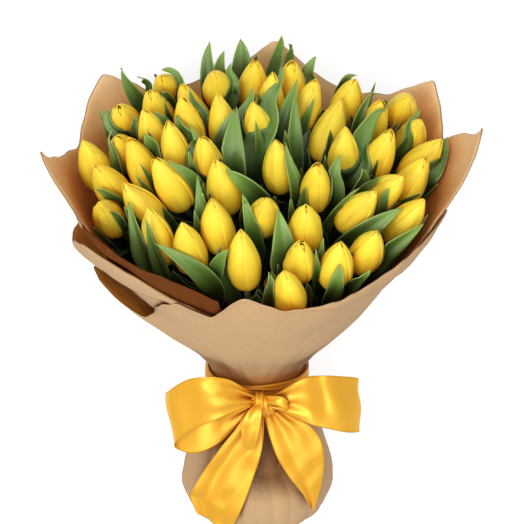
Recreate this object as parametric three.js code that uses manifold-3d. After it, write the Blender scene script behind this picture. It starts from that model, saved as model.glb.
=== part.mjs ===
// A bunch of yellow tulips wrapped in brown paper and tied with a satin ribbon, lying on its back.
// Units are millimetres. The bunch's own frame has its origin at the tie: x runs across, y along the
// stems towards the blooms, and z towards the front of the bunch, which is up as it lies.
import * as THREE from "three";
import { mergeVertices } from "three/addons/utils/BufferGeometryUtils.js";
import Module from "manifold-3d";

const wasm = await Module();
wasm.setup();

// Driving dimensions
const BLOOM_LENGTH = 66;
const STEM_RADIUS = 3.6;
const STEM_SIDES = 4;
const BUNDLE_RADIUS = 30; // to the middle of the outermost stems, at the tie
const BUNDLE_REACH = 150; // stems of blooms this far out, or farther, lie on the bundle's outside
const BUNDLE_MIDDLE = 15; // how far in front of the bundle's middle the blooms' middle is
const CUT_SPREAD = 1.5; // how much wider the cut ends spread than the tied stems
const NECK_BEND = 28; // the straight top of a stem, under its bloom
const STEM_TOP_RADIUS = 3.2;
const LEAF_THICK = 0.9;
const LARGE_LEAF = 16; // narrower blades than this are too small to build as solids
const LEAF_DISH = 0.28; // how far a blade's edges stand up, as a share of its half width
const LEAF_ROOT_SHARE = 0.6; // where a leaf leaves the upper part of its stem
const TIP_LIFT = 62; // leaf tips above the blooms' bases
const LOW_LIFT = 26; // and the leaves' low points
const LEAF_FROM_BLOOM = 2.2; // a blade's middle line keeps this far off a bloom
const LEAF_FROM_WRAP = 3.5; // and its edges this far inside the wrap
const FACE_OUT = 260; // the smaller, the more the leaves at the sides face sideways
const PAPER_THICK = 0.9;
const SHEET_STEP = 2.1; // one sheet's radius to the next one's
const NECK_RADIUS = 41; // inside of the wrap where it is tied
const RIPPLE = 2; // the funnel's soft flutes, to each side of their mean
const FLUTES = 6; // in a whole turn
const FLUTES_FROM = 20; // the height over the tie where the flutes start
const FLUTES_FULL = 200; // and where they are full
const RIBBON_THICK = 0.9;
const BAND_HALF = 9.5; // half the height of the ribbon's turn round the neck
const BAND_SWELL = 2.6; // how far the turn's middle stands out
const KNOT = [11, 9, 8]; // its half sizes
const LOOP_LIFT = 4; // the loops keep this far off the paper
const TAIL_LIFT = 6;
const TIE_HALF = 5; // half the height of the twine's turns
const CLEAR = 0.35; // left between pieces that touch
const STEM_END = -127; // where the stems are cut
const PAPER_END = -140; // the wrap's lower edge
const LIE_TILT = THREE.MathUtils.degToRad(12); // the stems' slope as the bunch lies
const TIE_HEIGHT = 95; // the middle of the tie above the surface

// The camera that took the photograph, for reading places out of its picture
const PICTURE_MIDDLE = 262;
const FOCAL_PIXELS = 1648;
const CAMERA_FAR = 1600;
const TIE_IN_PICTURE = [257, 372];
const LOOK_DOWN = THREE.MathUtils.degToRad(28);
const LOOK_ROUND = 400; // how far before and behind the tie a sight line is followed

// The domed face that the blooms' bases lie on: its height over the tie, and how it falls towards the
// front and away from the middle
const DOME_HEIGHT = 192;
const DOME_LEAN = 0.5;
const DOME_FALL = 0.0012;
const FAN_UNDER = 110; // the blooms fan out from a point this far under the tie

// How the blooms are eased apart: rounds, the share of each overlap that one bloom gives way, and what
// stays free between two blooms, to the wrap and to the surface below
const EASE_ROUNDS = 400;
const EASE_SHARE = 0.35;
const BLOOM_GAP = 0.6;
const WRAP_GAP = 4;
const FLOOR_GAP = 6;

// Blooms as they show in the picture: base x, base y, tip x, tip y, in its pixels
const BLOOMS_SEEN = [
  [121, 178, 100, 131], [126, 202, 95, 164], [118, 224, 99, 200], [147, 188, 124, 134],
  [164, 226, 123, 181], [166, 264, 148, 206], [182, 211, 152, 158], [197, 268, 183, 219],
  [218, 253, 210, 199], [247, 288, 240, 228], [229, 210, 214, 157], [207, 183, 200, 136],
  [177, 160, 167, 111], [196, 142, 181, 99], [200, 132, 172, 72], [214, 122, 203, 82],
  [219, 153, 211, 92], [166, 138, 147, 90], [166, 158, 133, 108], [143, 160, 114, 143],
  [240, 118, 256, 66], [262, 124, 270, 64], [284, 118, 290, 66], [304, 136, 323, 80],
  [314, 159, 333, 87], [344, 128, 357, 80], [336, 172, 344, 124], [376, 142, 387, 99],
  [395, 148, 408, 111], [371, 180, 393, 130], [393, 196, 428, 150], [388, 214, 415, 184],
  [394, 231, 429, 193], [408, 160, 427, 126], [426, 178, 454, 140], [350, 223, 383, 187],
  [315, 207, 318, 163], [305, 250, 306, 204], [281, 190, 275, 139], [262, 229, 267, 198],
  [350, 272, 373, 232], [328, 283, 338, 240], [309, 288, 305, 249], [301, 308, 288, 264],
  [150, 146, 134, 112], [188, 120, 172, 92], [254, 152, 249, 100],
];

// Leaves as they show in the picture: tip x, tip y, low x, low y, blade width in millimetres
const LEAVES_SEEN = [
  [121, 68, 139, 100, 17], [138, 77, 159, 94, 13], [162, 70, 179, 100, 14], [161, 89, 165, 114, 12],
  [97, 109, 114, 134, 12], [108, 110, 130, 130, 15], [112, 130, 119, 177, 12], [210, 42, 207, 87, 16],
  [224, 51, 217, 90, 15], [240, 39, 244, 80, 22], [231, 63, 224, 107, 17], [189, 89, 205, 134, 13],
  [134, 115, 144, 144, 12], [145, 134, 163, 162, 20], [154, 112, 165, 139, 13], [177, 115, 189, 160, 21],
  [189, 126, 212, 172, 14], [234, 109, 217, 155, 15], [236, 107, 232, 174, 25], [253, 87, 242, 145, 18],
  [284, 64, 250, 158, 26], [164, 162, 206, 187, 13], [224, 169, 262, 199, 21], [243, 194, 256, 240, 15],
  [198, 176, 202, 232, 12], [95, 189, 127, 210, 15], [105, 209, 127, 226, 12], [129, 202, 146, 262, 19],
  [155, 243, 216, 284, 19], [228, 250, 214, 272, 15], [281, 36, 275, 72, 13], [290, 44, 289, 67, 10],
  [316, 57, 299, 92, 17], [357, 75, 337, 97, 15], [297, 80, 279, 139, 19], [296, 94, 294, 150, 15],
  [374, 91, 352, 134, 15], [383, 103, 345, 167, 24], [419, 109, 399, 160, 15], [447, 137, 417, 189, 24],
  [340, 155, 329, 197, 18], [282, 144, 301, 200, 17], [401, 208, 352, 238, 21], [427, 224, 377, 258, 20],
  [362, 169, 360, 192, 19], [279, 209, 284, 262, 23], [339, 262, 334, 297, 16], [269, 272, 272, 304, 15],
  [391, 187, 379, 207, 12], [376, 273, 350, 286, 15],
];

// The wrap's radius at each height: its lower skirt, the tied neck and the funnel
const FUNNEL = [
  [PAPER_END, 64], [-116, 71], [-78, 62], [-38, 49], [-12, NECK_RADIUS], [10, NECK_RADIUS], [36, 59],
  [80, 92], [140, 133], [200, 168], [245, 189], [300, 201],
];

// Each sheet of paper: how far it lies outside the first, and its top edge as angles from the front, in
// degrees, where right is positive, each with the edge's height and how far the sheet leans out there
const SHEETS = {
  paper_back: {
    outside: 0,
    edge: [
      [-330, 148, 0], [-309, 150, 0], [-293, 170, 0], [-286, 208, 0], [-278, 270, 0], [-263, 243, 0],
      [-253, 225, 0], [-244, 250, 0], [-238, 260, 0], [-230, 246, 0], [-222, 231, 0], [-209, 232, 0],
      [-199, 246, 0], [-191, 267, 0], [-185, 284, 0], [-179, 267, 0], [-171, 254, 0], [-158, 239, 0],
      [-146, 232, 0], [-136, 249, 0], [-130, 260, 0], [-123, 242, 0], [-111, 209, 0], [-98, 217, 0],
      [-88, 231, 0], [-81, 248, 0], [-77, 218, 0], [-73, 197, 0], [-62, 199, 0], [-49, 198, 0],
      [-37, 185, 0], [-23, 173, 0], [-13, 158, 0],
    ],
  },
  paper_side: {
    outside: 1,
    edge: [
      [-110, 152, 0], [-98, 160, 0], [-86, 168, 4], [-75, 167, 12], [-64, 183, 14], [-56, 184, 9],
      [-41, 171, 1], [-32, 157, 0], [-25, 147, 0], [-15, 133, 0], [0, 124, 0], [10, 114, 0],
    ],
  },
  paper_front: {
    outside: 2,
    edge: [
      [-80, 128, 7], [-70, 145, 13], [-62, 141, 17], [-56, 124, 16], [-50, 107, 9], [-45, 119, 2],
      [-39, 134, 0], [-33, 144, 0], [-27, 150, 0], [-22, 142, 0], [-16, 135, 0], [-9, 157, 0],
      [-4, 171, 0], [2, 163, 0], [9, 152, 0], [20, 151, 0], [38, 159, 0], [54, 173, 0], [66, 181, 0],
      [74, 184, 0], [79, 192, 0], [87, 181, 0], [96, 162, 0],
    ],
  },
};
const LEAN_FROM = 70; // how far under its top edge a sheet starts to lean out
const WIDEST_COLUMN = 12; // degrees
const SKIRT_ROWS = [PAPER_END, -116, -78, -38, -12, 10, 36];
const FUNNEL_SHARES = [0.36, 0.7, 1]; // rows from there up to a sheet's top edge

// No stem or bloom runs along this direction, so it gives each its sideways axis
const ACROSS = [0.3, 0.1, 1];

// Vectors, as arrays of x, y and z
const add = (a, b, k = 1) => [a[0] + b[0] * k, a[1] + b[1] * k, a[2] + b[2] * k];
const sub = (a, b) => add(a, b, -1);
const dot = (a, b) => a[0] * b[0] + a[1] * b[1] + a[2] * b[2];
const cross = (a, b) => [
  a[1] * b[2] - a[2] * b[1],
  a[2] * b[0] - a[0] * b[2],
  a[0] * b[1] - a[1] * b[0],
];
const long = (a) => Math.sqrt(dot(a, a));
const unit = (a) => add([0, 0, 0], a, 1 / (long(a) || 1));
const mix = (a, b, t) => add(a, sub(b, a), t);

// A smooth curve through [place, value] pairs
function smooth(pairs, at) {
  const last = pairs.length - 1;
  if (at <= pairs[0][0]) return pairs[0][1];
  if (at >= pairs[last][0]) return pairs[last][1];
  let i = 0;
  while (at > pairs[i + 1][0]) i++;
  const slope = (k) => {
    const a = pairs[Math.max(0, k - 1)];
    const b = pairs[Math.min(last, k + 1)];
    return (b[1] - a[1]) / (b[0] - a[0]);
  };
  const span = pairs[i + 1][0] - pairs[i][0];
  const t = (at - pairs[i][0]) / span;
  const rise = pairs[i + 1][1] - pairs[i][1];
  const bend = t * (1 - t) * span;
  const eased = t * t * (3 - 2 * t);
  return pairs[i][1] + rise * eased + bend * ((1 - t) * slope(i) - t * slope(i + 1));
}

const rippleAt = (y) => RIPPLE * THREE.MathUtils.smoothstep(y, FLUTES_FROM, FLUTES_FULL);
const flutes = (angle, y) => rippleAt(y) * (1 + Math.sin(THREE.MathUtils.degToRad(angle * FLUTES)));
const floorAt = (y) => -(TIE_HEIGHT + y * Math.sin(LIE_TILT)) / Math.cos(LIE_TILT);
const funnelRadius = (y) => smooth(FUNNEL, y);

// Places in the picture
const CAMERA_UP = [0, Math.cos(LOOK_DOWN), -Math.sin(LOOK_DOWN)];
const TO_CAMERA = [0, Math.sin(LOOK_DOWN), Math.cos(LOOK_DOWN)];
const PIXELS_PER_MM = FOCAL_PIXELS / CAMERA_FAR;
const CAMERA = add(
  add(
    [(PICTURE_MIDDLE - TIE_IN_PICTURE[0]) / PIXELS_PER_MM, 0, 0],
    CAMERA_UP,
    (TIE_IN_PICTURE[1] - PICTURE_MIDDLE) / PIXELS_PER_MM,
  ),
  TO_CAMERA,
  CAMERA_FAR,
);
const sightLine = (x, y) =>
  unit(
    add(
      add([(x - PICTURE_MIDDLE) / FOCAL_PIXELS, 0, 0], CAMERA_UP, (PICTURE_MIDDLE - y) / FOCAL_PIXELS),
      TO_CAMERA,
      -1,
    ),
  );

// The domed face's height at a place, and where a sight line meets it
const domeHeight = (p) => DOME_HEIGHT - DOME_LEAN * p[2] - DOME_FALL * (p[0] * p[0] + p[2] * p[2]);
function onDome(x, y, lift = 0) {
  const ray = sightLine(x, y);
  let near = CAMERA_FAR - LOOK_ROUND;
  let far = CAMERA_FAR + LOOK_ROUND;
  for (let i = 0; i < 40; i++) {
    const middle = (near + far) / 2;
    const p = add(CAMERA, ray, middle);
    if (p[1] > domeHeight(p) + lift) near = middle;
    else far = middle;
  }
  return add(CAMERA, ray, near);
}

// A bloom's base and tip from the picture: the tip lies on its own sight line, a bloom's length from
// the base
function bloomAxis([bx, by, tx, ty]) {
  const base = onDome(bx, by);
  const ray = sightLine(tx, ty);
  const nearest = dot(sub(base, CAMERA), ray);
  const off = long(sub(add(CAMERA, ray, nearest), base));
  const swing = Math.sqrt(Math.max(0, BLOOM_LENGTH ** 2 - off ** 2));
  const tips = [-1, 1].map((side) => add(CAMERA, ray, nearest + side * swing));
  const fan = unit(add(base, [0, FAN_UNDER, 0]));
  const tip = tips.sort((a, b) => dot(sub(b, base), fan) - dot(sub(a, base), fan))[0];
  return { base, tip: add(base, unit(sub(tip, base)), BLOOM_LENGTH) };
}

// Balls that stand for a bloom while the blooms are eased apart: share of its length, and radius
const BLOOM_BALLS = [[0.1, 10.5], [0.28, 15.6], [0.46, 15.8], [0.64, 14.2], [0.8, 10.8], [0.94, 6]];

function easeApart(blooms) {
  const ball = (b, t) => mix(b.base, b.tip, t);
  const push = (b, t, by) => {
    b.base = add(b.base, by, 1 - t);
    b.tip = add(b.tip, by, t);
  };
  for (let round = 0; round < EASE_ROUNDS; round++) {
    blooms.forEach((a, i) => {
      blooms.slice(i + 1).forEach((b) => {
        for (const [ta, ra] of BLOOM_BALLS)
          for (const [tb, rb] of BLOOM_BALLS) {
            const apart = sub(ball(b, tb), ball(a, ta));
            const short = ra + rb + BLOOM_GAP - long(apart);
            if (short <= 0) continue;
            push(a, ta, add([0, 0, 0], unit(apart), -short * EASE_SHARE));
            push(b, tb, add([0, 0, 0], unit(apart), short * EASE_SHARE));
          }
      });
      for (const [t, r] of BLOOM_BALLS) {
        const p = ball(a, t);
        const out = Math.hypot(p[0], p[2]);
        const over = out + r + WRAP_GAP - funnelRadius(p[1]);
        const inward = [(-p[0] / out) * over * 0.5, over * 0.2, (-p[2] / out) * over * 0.5];
        if (over > 0) push(a, t, inward);
        const under = floorAt(p[1]) + r + FLOOR_GAP - p[2];
        if (under > 0) push(a, t, [0, 0, under * 0.6]);
      }
      const centre = mix(a.base, a.tip, 0.5);
      const along = unit(sub(a.tip, a.base));
      a.base = add(centre, along, -BLOOM_LENGTH / 2);
      a.tip = add(centre, along, BLOOM_LENGTH / 2);
    });
  }
  return blooms;
}

// Solids
function geometryOf(positions, triangles) {
  const geometry = new THREE.BufferGeometry();
  geometry.setAttribute("position", new THREE.Float32BufferAttribute(positions.flat(), 3));
  geometry.setIndex(triangles);
  return geometry;
}

function solidOf(geometry) {
  const bare = geometry.clone();
  bare.deleteAttribute("normal");
  bare.deleteAttribute("uv");
  const merged = mergeVertices(bare, 1e-3);
  return new wasm.Manifold(
    new wasm.Mesh({
      numProp: 3,
      vertProperties: merged.attributes.position.array,
      triVerts: new Uint32Array(merged.index.array),
    }),
  );
}

function geometryFrom(solid) {
  const mesh = solid.getMesh();
  const positions = [];
  for (let i = 0; i < mesh.numVert; i++)
    positions.push(Array.from(mesh.vertProperties.slice(i * mesh.numProp, i * mesh.numProp + 3)));
  return geometryOf(positions, Array.from(mesh.triVerts));
}

// A closed slab between two grids of points of one size, whose front faces out where its rows run up
// and its columns run to the right
function slab(front, back) {
  const rows = front.length;
  const columns = front[0].length;
  const count = rows * columns;
  const at = (r, c) => r * columns + c;
  const triangles = [];
  const quad = (a, b, c, d) => triangles.push(a, b, c, a, c, d);
  for (let r = 0; r < rows - 1; r++)
    for (let c = 0; c < columns - 1; c++) {
      const [a, b, d, e] = [at(r, c), at(r, c + 1), at(r + 1, c + 1), at(r + 1, c)];
      quad(a, b, d, e);
      triangles.push(count + a, count + d, count + b, count + a, count + e, count + d);
    }
  for (let c = 0; c < columns - 1; c++) {
    const [a, b] = [at(0, c), at(0, c + 1)];
    quad(a, count + a, count + b, b);
    const [d, e] = [at(rows - 1, c), at(rows - 1, c + 1)];
    quad(d, e, count + e, count + d);
  }
  for (let r = 0; r < rows - 1; r++) {
    const [a, b] = [at(r, 0), at(r + 1, 0)];
    quad(a, b, count + b, count + a);
    const [d, e] = [at(r, columns - 1), at(r + 1, columns - 1)];
    quad(d, count + d, count + e, e);
  }
  return geometryOf([...front.flat(), ...back.flat()], triangles);
}

// A closed tube of few sides through points, each with its radius
function rod(points, radii, sides) {
  const rings = points.map((p, i) => {
    const along = unit(sub(points[Math.min(i + 1, points.length - 1)], points[Math.max(i - 1, 0)]));
    const right = unit(cross(along, ACROSS));
    const front = cross(right, along);
    return Array.from({ length: sides }, (_, k) => {
      const turn = (k / sides) * 2 * Math.PI;
      return add(add(p, right, radii[i] * Math.cos(turn)), front, radii[i] * Math.sin(turn));
    });
  });
  return lidded(rings, points[0], points[points.length - 1], true);
}

// A closed body through rings of points, with one middle point at each end
function lidded(rings, low, high, turned = false) {
  const sides = rings[0].length;
  const triangles = [];
  const face = (a, b, c) => (turned ? triangles.push(a, c, b) : triangles.push(a, b, c));
  rings.slice(1).forEach((_, r) => {
    for (let k = 0; k < sides; k++) {
      const next = (k + 1) % sides;
      const up = (r + 1) * sides;
      const [a, b, c, d] = [r * sides + k, r * sides + next, up + next, up + k];
      face(a, b, c);
      face(a, c, d);
    }
  });
  const lowAt = rings.length * sides;
  const lastRing = (rings.length - 1) * sides;
  for (let k = 0; k < sides; k++) {
    const next = (k + 1) % sides;
    face(lowAt, next, k);
    face(lowAt + 1, lastRing + k, lastRing + next);
  }
  return geometryOf([...rings.flat(), low, high], triangles);
}

// A bloom in bud: three outer petals that stand out over the edges of three inner ones. Across an outer
// petal the outline has its middle and two raised edges, and the inner petal between shows as a groove.
const BUD_OUTLINE = [[0.05, 9.4], [0.3, 15], [0.6, 13.6], [0.84, 8.2]];
const PETAL_ANGLES = [-45, 0, 45, 60]; // an outer petal's edge, middle and edge, then the inner petal
const OUTER_TIPS = [0.955, 1, 0.955, 0.925]; // how high each column reaches, as a share of the length
const OUTER_RADII = [1.02, 1, 1.02, 0.84];
const TIP_RADII = [3.4, 2.2, 3.4, 3.8];

function bloomGeometry({ base, tip }, phase, grown = 0) {
  const along = unit(sub(tip, base));
  const right = unit(cross(along, ACROSS));
  const front = cross(right, along);
  const length = long(sub(tip, base));
  const place = (height, radius, turn) =>
    add(
      add(add(base, along, height), right, radius * Math.cos(turn)),
      front,
      radius * Math.sin(turn),
    );
  const columns = [];
  for (let petal = 0; petal < 3; petal++)
    PETAL_ANGLES.forEach((angle, k) =>
      columns.push([phase - THREE.MathUtils.degToRad(petal * 120 + angle), k]),
    );
  const rings = BUD_OUTLINE.map(([share, radius]) =>
    columns.map(([turn, k]) => place(share * length, radius * OUTER_RADII[k] + grown, turn)),
  );
  const tipAt = ([turn, k]) => place(OUTER_TIPS[k] * length + grown, TIP_RADII[k] + grown, turn);
  rings.push(columns.map(tipAt));
  return lidded(rings, place(-grown, 0, 0), place(0.9 * length + grown, 0, 0));
}

// A stem runs up from its cut end, through its place in the tied bundle, and bends into its bloom
function stemPath(bloom) {
  const out = [bloom.base[0] / BUNDLE_REACH, (bloom.base[2] - BUNDLE_MIDDLE) / BUNDLE_REACH];
  const reach = Math.hypot(...out);
  const spread = Math.min(1, reach) / (reach || 1);
  const tie = [out[0] * spread * BUNDLE_RADIUS, 0, out[1] * spread * BUNDLE_RADIUS];
  const cut = [tie[0] * CUT_SPREAD, STEM_END, tie[2] * CUT_SPREAD];
  const along = unit(sub(bloom.tip, bloom.base));
  const top = add(bloom.base, along, -CLEAR);
  const bend = insideWrap(add(top, along, -NECK_BEND), STEM_RADIUS + 2);
  return [cut, tie, mix(add(tie, [0, 12, 0]), bend, 0.4), bend, top];
}

// A leaf grows from the stem nearest to its low point, and its blade faces the front
function leafPath([tx, ty, lx, ly], stems) {
  const tip = onDome(tx, ty, TIP_LIFT);
  const low = onDome(lx, ly, LOW_LIFT);
  const upper = (path) => mix(path[2], path[3], LEAF_ROOT_SHARE);
  let root = upper(stems[0]);
  stems.forEach((path) => {
    if (long(sub(upper(path), low)) < long(sub(root, low))) root = upper(path);
  });
  return { root, low, tip };
}

const LEAF_ROWS = [0, 0.2, 0.45, 0.68, 0.87, 1];
const LEAF_WIDTHS = [0.2, 0.66, 1, 0.9, 0.5, 0.07];
const LEAF_FREE_FROM = 0.3; // the share of its run where a leaf has left its stem

function leafCentre({ root, low, tip }, t) {
  const control = add(low, sub(low, mix(root, tip, 0.5)), 0.6);
  return mix(mix(root, control, t), mix(control, tip, t), t);
}

// What lies in a bloom is moved out of it, sideways from its axis
function clearOfBlooms(p, blooms, by) {
  let moved = p;
  blooms.forEach(({ base, tip }) => {
    const along = unit(sub(tip, base));
    const height = dot(sub(moved, base), along);
    const share = height / BLOOM_LENGTH;
    if (share < -0.03 || share > 1.03) return;
    const axis = add(base, along, height);
    const side = sub(moved, axis);
    const want = smooth(BUD_OUTLINE, Math.min(0.88, Math.max(0, share))) + by;
    const toward = unit(add(unit(side), TO_CAMERA, 0.35));
    if (long(side) < want) moved = add(moved, toward, want - long(side));
  });
  return moved;
}

function insideWrap(p, by) {
  const out = Math.hypot(p[0], p[2]);
  const most = funnelRadius(p[1]) - by;
  const held = out > most ? [(p[0] * most) / out, p[1], (p[2] * most) / out] : p;
  return [held[0], held[1], Math.max(held[2], floorAt(held[1]) + by)];
}

function leafGeometry(path, width, blooms) {
  const centre = LEAF_ROWS.map((t) => {
    const p = leafCentre(path, t);
    const free = t < LEAF_FREE_FROM ? p : clearOfBlooms(p, blooms, LEAF_FROM_BLOOM);
    return insideWrap(free, LEAF_FROM_WRAP + 1.5);
  });
  const front = [];
  const back = [];
  centre.forEach((p, i) => {
    const along = unit(sub(centre[Math.min(i + 1, centre.length - 1)], centre[Math.max(i - 1, 0)]));
    const outward = unit(add(TO_CAMERA, [p[0] / FACE_OUT, 0.1, p[2] / FACE_OUT]));
    const right = unit(cross(along, outward));
    const face = cross(right, along);
    const half = (width / 2) * LEAF_WIDTHS[i];
    const raise = half * LEAF_DISH;
    const across = [-1, 0, 1].map((s) =>
      insideWrap(add(add(p, right, s * half), face, Math.abs(s) * raise), LEAF_FROM_WRAP),
    );
    front.push(across);
    back.push(across.map((q) => add(q, face, -LEAF_THICK)));
  });
  return slab(front, back);
}

// A sheet of the wrap, from the skirt's lower edge to its own top edge
function paperPoint(angle, y, radius) {
  const turn = THREE.MathUtils.degToRad(angle);
  return [Math.sin(turn) * radius, y, Math.cos(turn) * radius];
}

function sheetGeometry({ outside, edge }) {
  const columns = [];
  edge.slice(1).forEach((key, i) => {
    columns.push(edge[i]);
    if (key[0] - edge[i][0] > WIDEST_COLUMN) columns.push(mix(edge[i], key, 0.5));
  });
  columns.push(edge[edge.length - 1]);
  const skin = (lift) => (angle, y, top, lean) => {
    const out = lean * THREE.MathUtils.smoothstep(y, top - LEAN_FROM, top);
    const radius = funnelRadius(y) + outside * SHEET_STEP + flutes(angle, y) + out + lift;
    const p = paperPoint(angle, y, radius);
    const layer = PAPER_THICK - lift;
    return [p[0], p[1], Math.max(p[2], floorAt(y) + layer / Math.cos(LIE_TILT))];
  };
  const grid = (lift) => {
    const at = skin(lift);
    const low = SKIRT_ROWS.map((y) => columns.map(([angle, top, lean]) => at(angle, y, top, lean)));
    const lastRow = SKIRT_ROWS[SKIRT_ROWS.length - 1];
    const high = FUNNEL_SHARES.map((share) =>
      columns.map(([angle, top, lean]) => at(angle, lastRow + (top - lastRow) * share, top, lean)),
    );
    return [...low, ...high];
  };
  return slab(grid(PAPER_THICK), grid(0));
}

// What lies in the wrap is moved straight out of it
function outsideWrap(p, by) {
  const out = Math.hypot(p[0], p[2]);
  const widest = Math.max(NECK_RADIUS, funnelRadius(p[1])) + 2 * rippleAt(p[1]);
  const least = widest + 2 * SHEET_STEP + PAPER_THICK + by;
  return out < least ? [(p[0] * least) / out, p[1], (p[2] * least) / out] : p;
}

// A ribbon strip along stations of place, width and the direction of that width
function strip(stations, lift, thick = RIBBON_THICK) {
  const front = [];
  const back = [];
  stations.forEach(({ at, wide, lie }, i) => {
    const before = stations[Math.max(0, i - 1)].at;
    const after = stations[Math.min(stations.length - 1, i + 1)].at;
    const along = unit(sub(after, before));
    const side = unit(sub(lie, add([0, 0, 0], along, dot(lie, along))));
    const face = cross(side, along);
    const across = [-0.5, -0.17, 0.17, 0.5].map((s) => outsideWrap(add(at, side, s * wide), lift));
    front.push(across);
    back.push(across.map((p) => add(p, face, -thick)));
  });
  return slab(front, back);
}

function ribbonGeometry() {
  const up = [0, 1, 0];
  const bandRadius = NECK_RADIUS + 2 * SHEET_STEP + PAPER_THICK + CLEAR;
  const profile = [[0, -1], [0.85, -0.8], [1, 0], [0.85, 0.8], [0, 1], [0, -1]].map(
    ([out, height]) => new THREE.Vector2(bandRadius + out * BAND_SWELL, height * BAND_HALF),
  );
  const band = new THREE.LatheGeometry(profile, 36);
  const knotAt = [0, -2, bandRadius + KNOT[2]];
  const knot = new THREE.SphereGeometry(1, 10, 7);
  knot.scale(...KNOT);
  knot.translate(...knotAt);
  const station = (x, y, z, wide, lie = up) => ({ at: [x, y, knotAt[2] + z], wide, lie });
  const leftLoop = [
    station(-4, -3, 2, 12), station(-24, -8, 12, 32), station(-48, -16, 19, 48), station(-72, -22, 16, 54),
    station(-84, -25, 6, 54), station(-78, -24, -4, 52), station(-54, -16, -5, 46),
    station(-28, -8, -3, 30), station(-4, -3, -2, 12),
  ];
  const rightLoop = [
    station(4, -3, -2, 12), station(28, -4, -4, 32), station(56, -7, -6, 46), station(84, -10, -4, 50),
    station(96, -11, 5, 52), station(86, -10, 15, 52), station(56, -6, 20, 46), station(28, -3, 12, 28),
    station(4, -3, 2, 12),
  ];
  const slant = (angle) => [Math.cos(angle), Math.sin(angle), 0];
  const leftTail = [
    station(-1, -5, 3, 10, slant(0.2)), station(-11, -26, 9, 32, slant(0.25)),
    station(-24, -56, 16, 46, slant(0.3)), station(-36, -86, 20, 50, slant(0.32)),
    station(-47, -114, 19, 50, slant(0.32)), station(-55, -137, 14, 50, slant(0.1)),
  ];
  const rightTail = [
    station(3, -5, 2, 10, slant(-0.3)), station(18, -24, 6, 32, slant(-0.5)),
    station(33, -50, 11, 46, slant(-0.5)), station(45, -78, 14, 48, slant(-0.5)),
    station(52, -100, 13, 36, slant(-0.75)), station(55, -118, 12, 6, slant(-0.8)),
  ];
  const loops = [leftLoop, rightLoop].map((loop) => strip(loop, LOOP_LIFT));
  const tails = [leftTail, rightTail].map((tail) => strip(tail, TAIL_LIFT));
  const pieces = [band, knot, ...loops, ...tails];
  return geometryFrom(wasm.Manifold.union(pieces.map(solidOf)));
}

// Twine that holds the stems together under the paper
function tieGeometry(grown = 0) {
  const inner = BUNDLE_RADIUS + STEM_RADIUS + CLEAR;
  const outer = NECK_RADIUS - CLEAR;
  const half = TIE_HALF + grown;
  const profile = [
    [inner - grown, -half], [outer, -half + 1], [outer, half - 1], [inner - grown, half],
    [inner - grown, -half],
  ].map(([x, y]) => new THREE.Vector2(x, y));
  return new THREE.LatheGeometry(profile, 32);
}

function greensGeometry(blooms, phases) {
  const stems = blooms.map(stemPath);
  const parts = stems.map((path) => {
    const curve = new THREE.CatmullRomCurve3(path.map((p) => new THREE.Vector3(...p)));
    const points = path.map((_, i) => curve.getPoint(i / (path.length - 1)).toArray());
    const radii = points.map((_, i) => (i === points.length - 1 ? STEM_TOP_RADIUS : STEM_RADIUS));
    return solidOf(rod(points, radii, STEM_SIDES));
  });
  const core = new THREE.CylinderGeometry(BUNDLE_RADIUS - 1, BUNDLE_RADIUS - 1, 3 * TIE_HALF, 16);
  parts.push(solidOf(core));
  LEAVES_SEEN.filter((seen) => seen[4] >= LARGE_LEAF).forEach((seen) => {
    parts.push(solidOf(leafGeometry(leafPath(seen, stems), seen[4], blooms)));
  });
  const blocked = wasm.Manifold.union([
    ...blooms.map((bloom, i) => solidOf(bloomGeometry(bloom, phases[i], CLEAR * 0.9))),
    solidOf(tieGeometry(CLEAR)),
  ]);
  const bodies = wasm.Manifold.union(parts).subtract(blocked).decompose();
  return geometryFrom(bodies.sort((a, b) => b.volume() - a.volume())[0]);
}

const paint = (color, roughness) => new THREE.MeshStandardMaterial({ color, roughness, metalness: 0 });
const PETAL = paint(0xf8d020, 0.5);
const GREEN = paint(0x4d8c3c, 0.55);
const PAPER = paint(0xc49a6c, 0.85);
const SATIN = paint(0xf7b52c, 0.35);
const TWINE = paint(0xb59a6a, 0.9);

const bunch = new THREE.Group();
function piece(name, geometry, material) {
  const mesh = new THREE.Mesh(geometry, material);
  mesh.name = name;
  bunch.add(mesh);
}

const blooms = easeApart(BLOOMS_SEEN.map(bloomAxis));
const phases = blooms.map((_, i) => i * 2.4);
blooms.forEach((bloom, i) =>
  piece("bloom_" + String(i + 1).padStart(2, "0"), bloomGeometry(bloom, phases[i]), PETAL),
);
piece("stems_and_leaves", greensGeometry(blooms, phases), GREEN);
Object.entries(SHEETS).forEach(([name, sheet]) => piece(name, sheetGeometry(sheet), PAPER));
piece("stem_tie", tieGeometry(), TWINE);
piece("ribbon", ribbonGeometry(), SATIN);

// The bunch lies on its back, its origin under the middle of its outline
bunch.rotation.x = LIE_TILT;
bunch.position.z = TIE_HEIGHT;
const part = new THREE.Group();
part.add(bunch);
part.updateMatrixWorld(true);
const box = new THREE.Box3().setFromObject(part, true);
bunch.position.x -= (box.min.x + box.max.x) / 2;
bunch.position.y -= (box.min.y + box.max.y) / 2;

export default part;
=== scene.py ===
"""Looks of a bunch of yellow tulips in brown paper with a satin bow, lying on its back.

Shapes are worked out in millimetres in the bunch's own frame, whose origin is in the tie: x runs
across, y along the stems towards the blooms, and z towards the front, which is up as it lies.
"""
import math

import bpy
import numpy as np
from mathutils import Matrix, Vector


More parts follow.
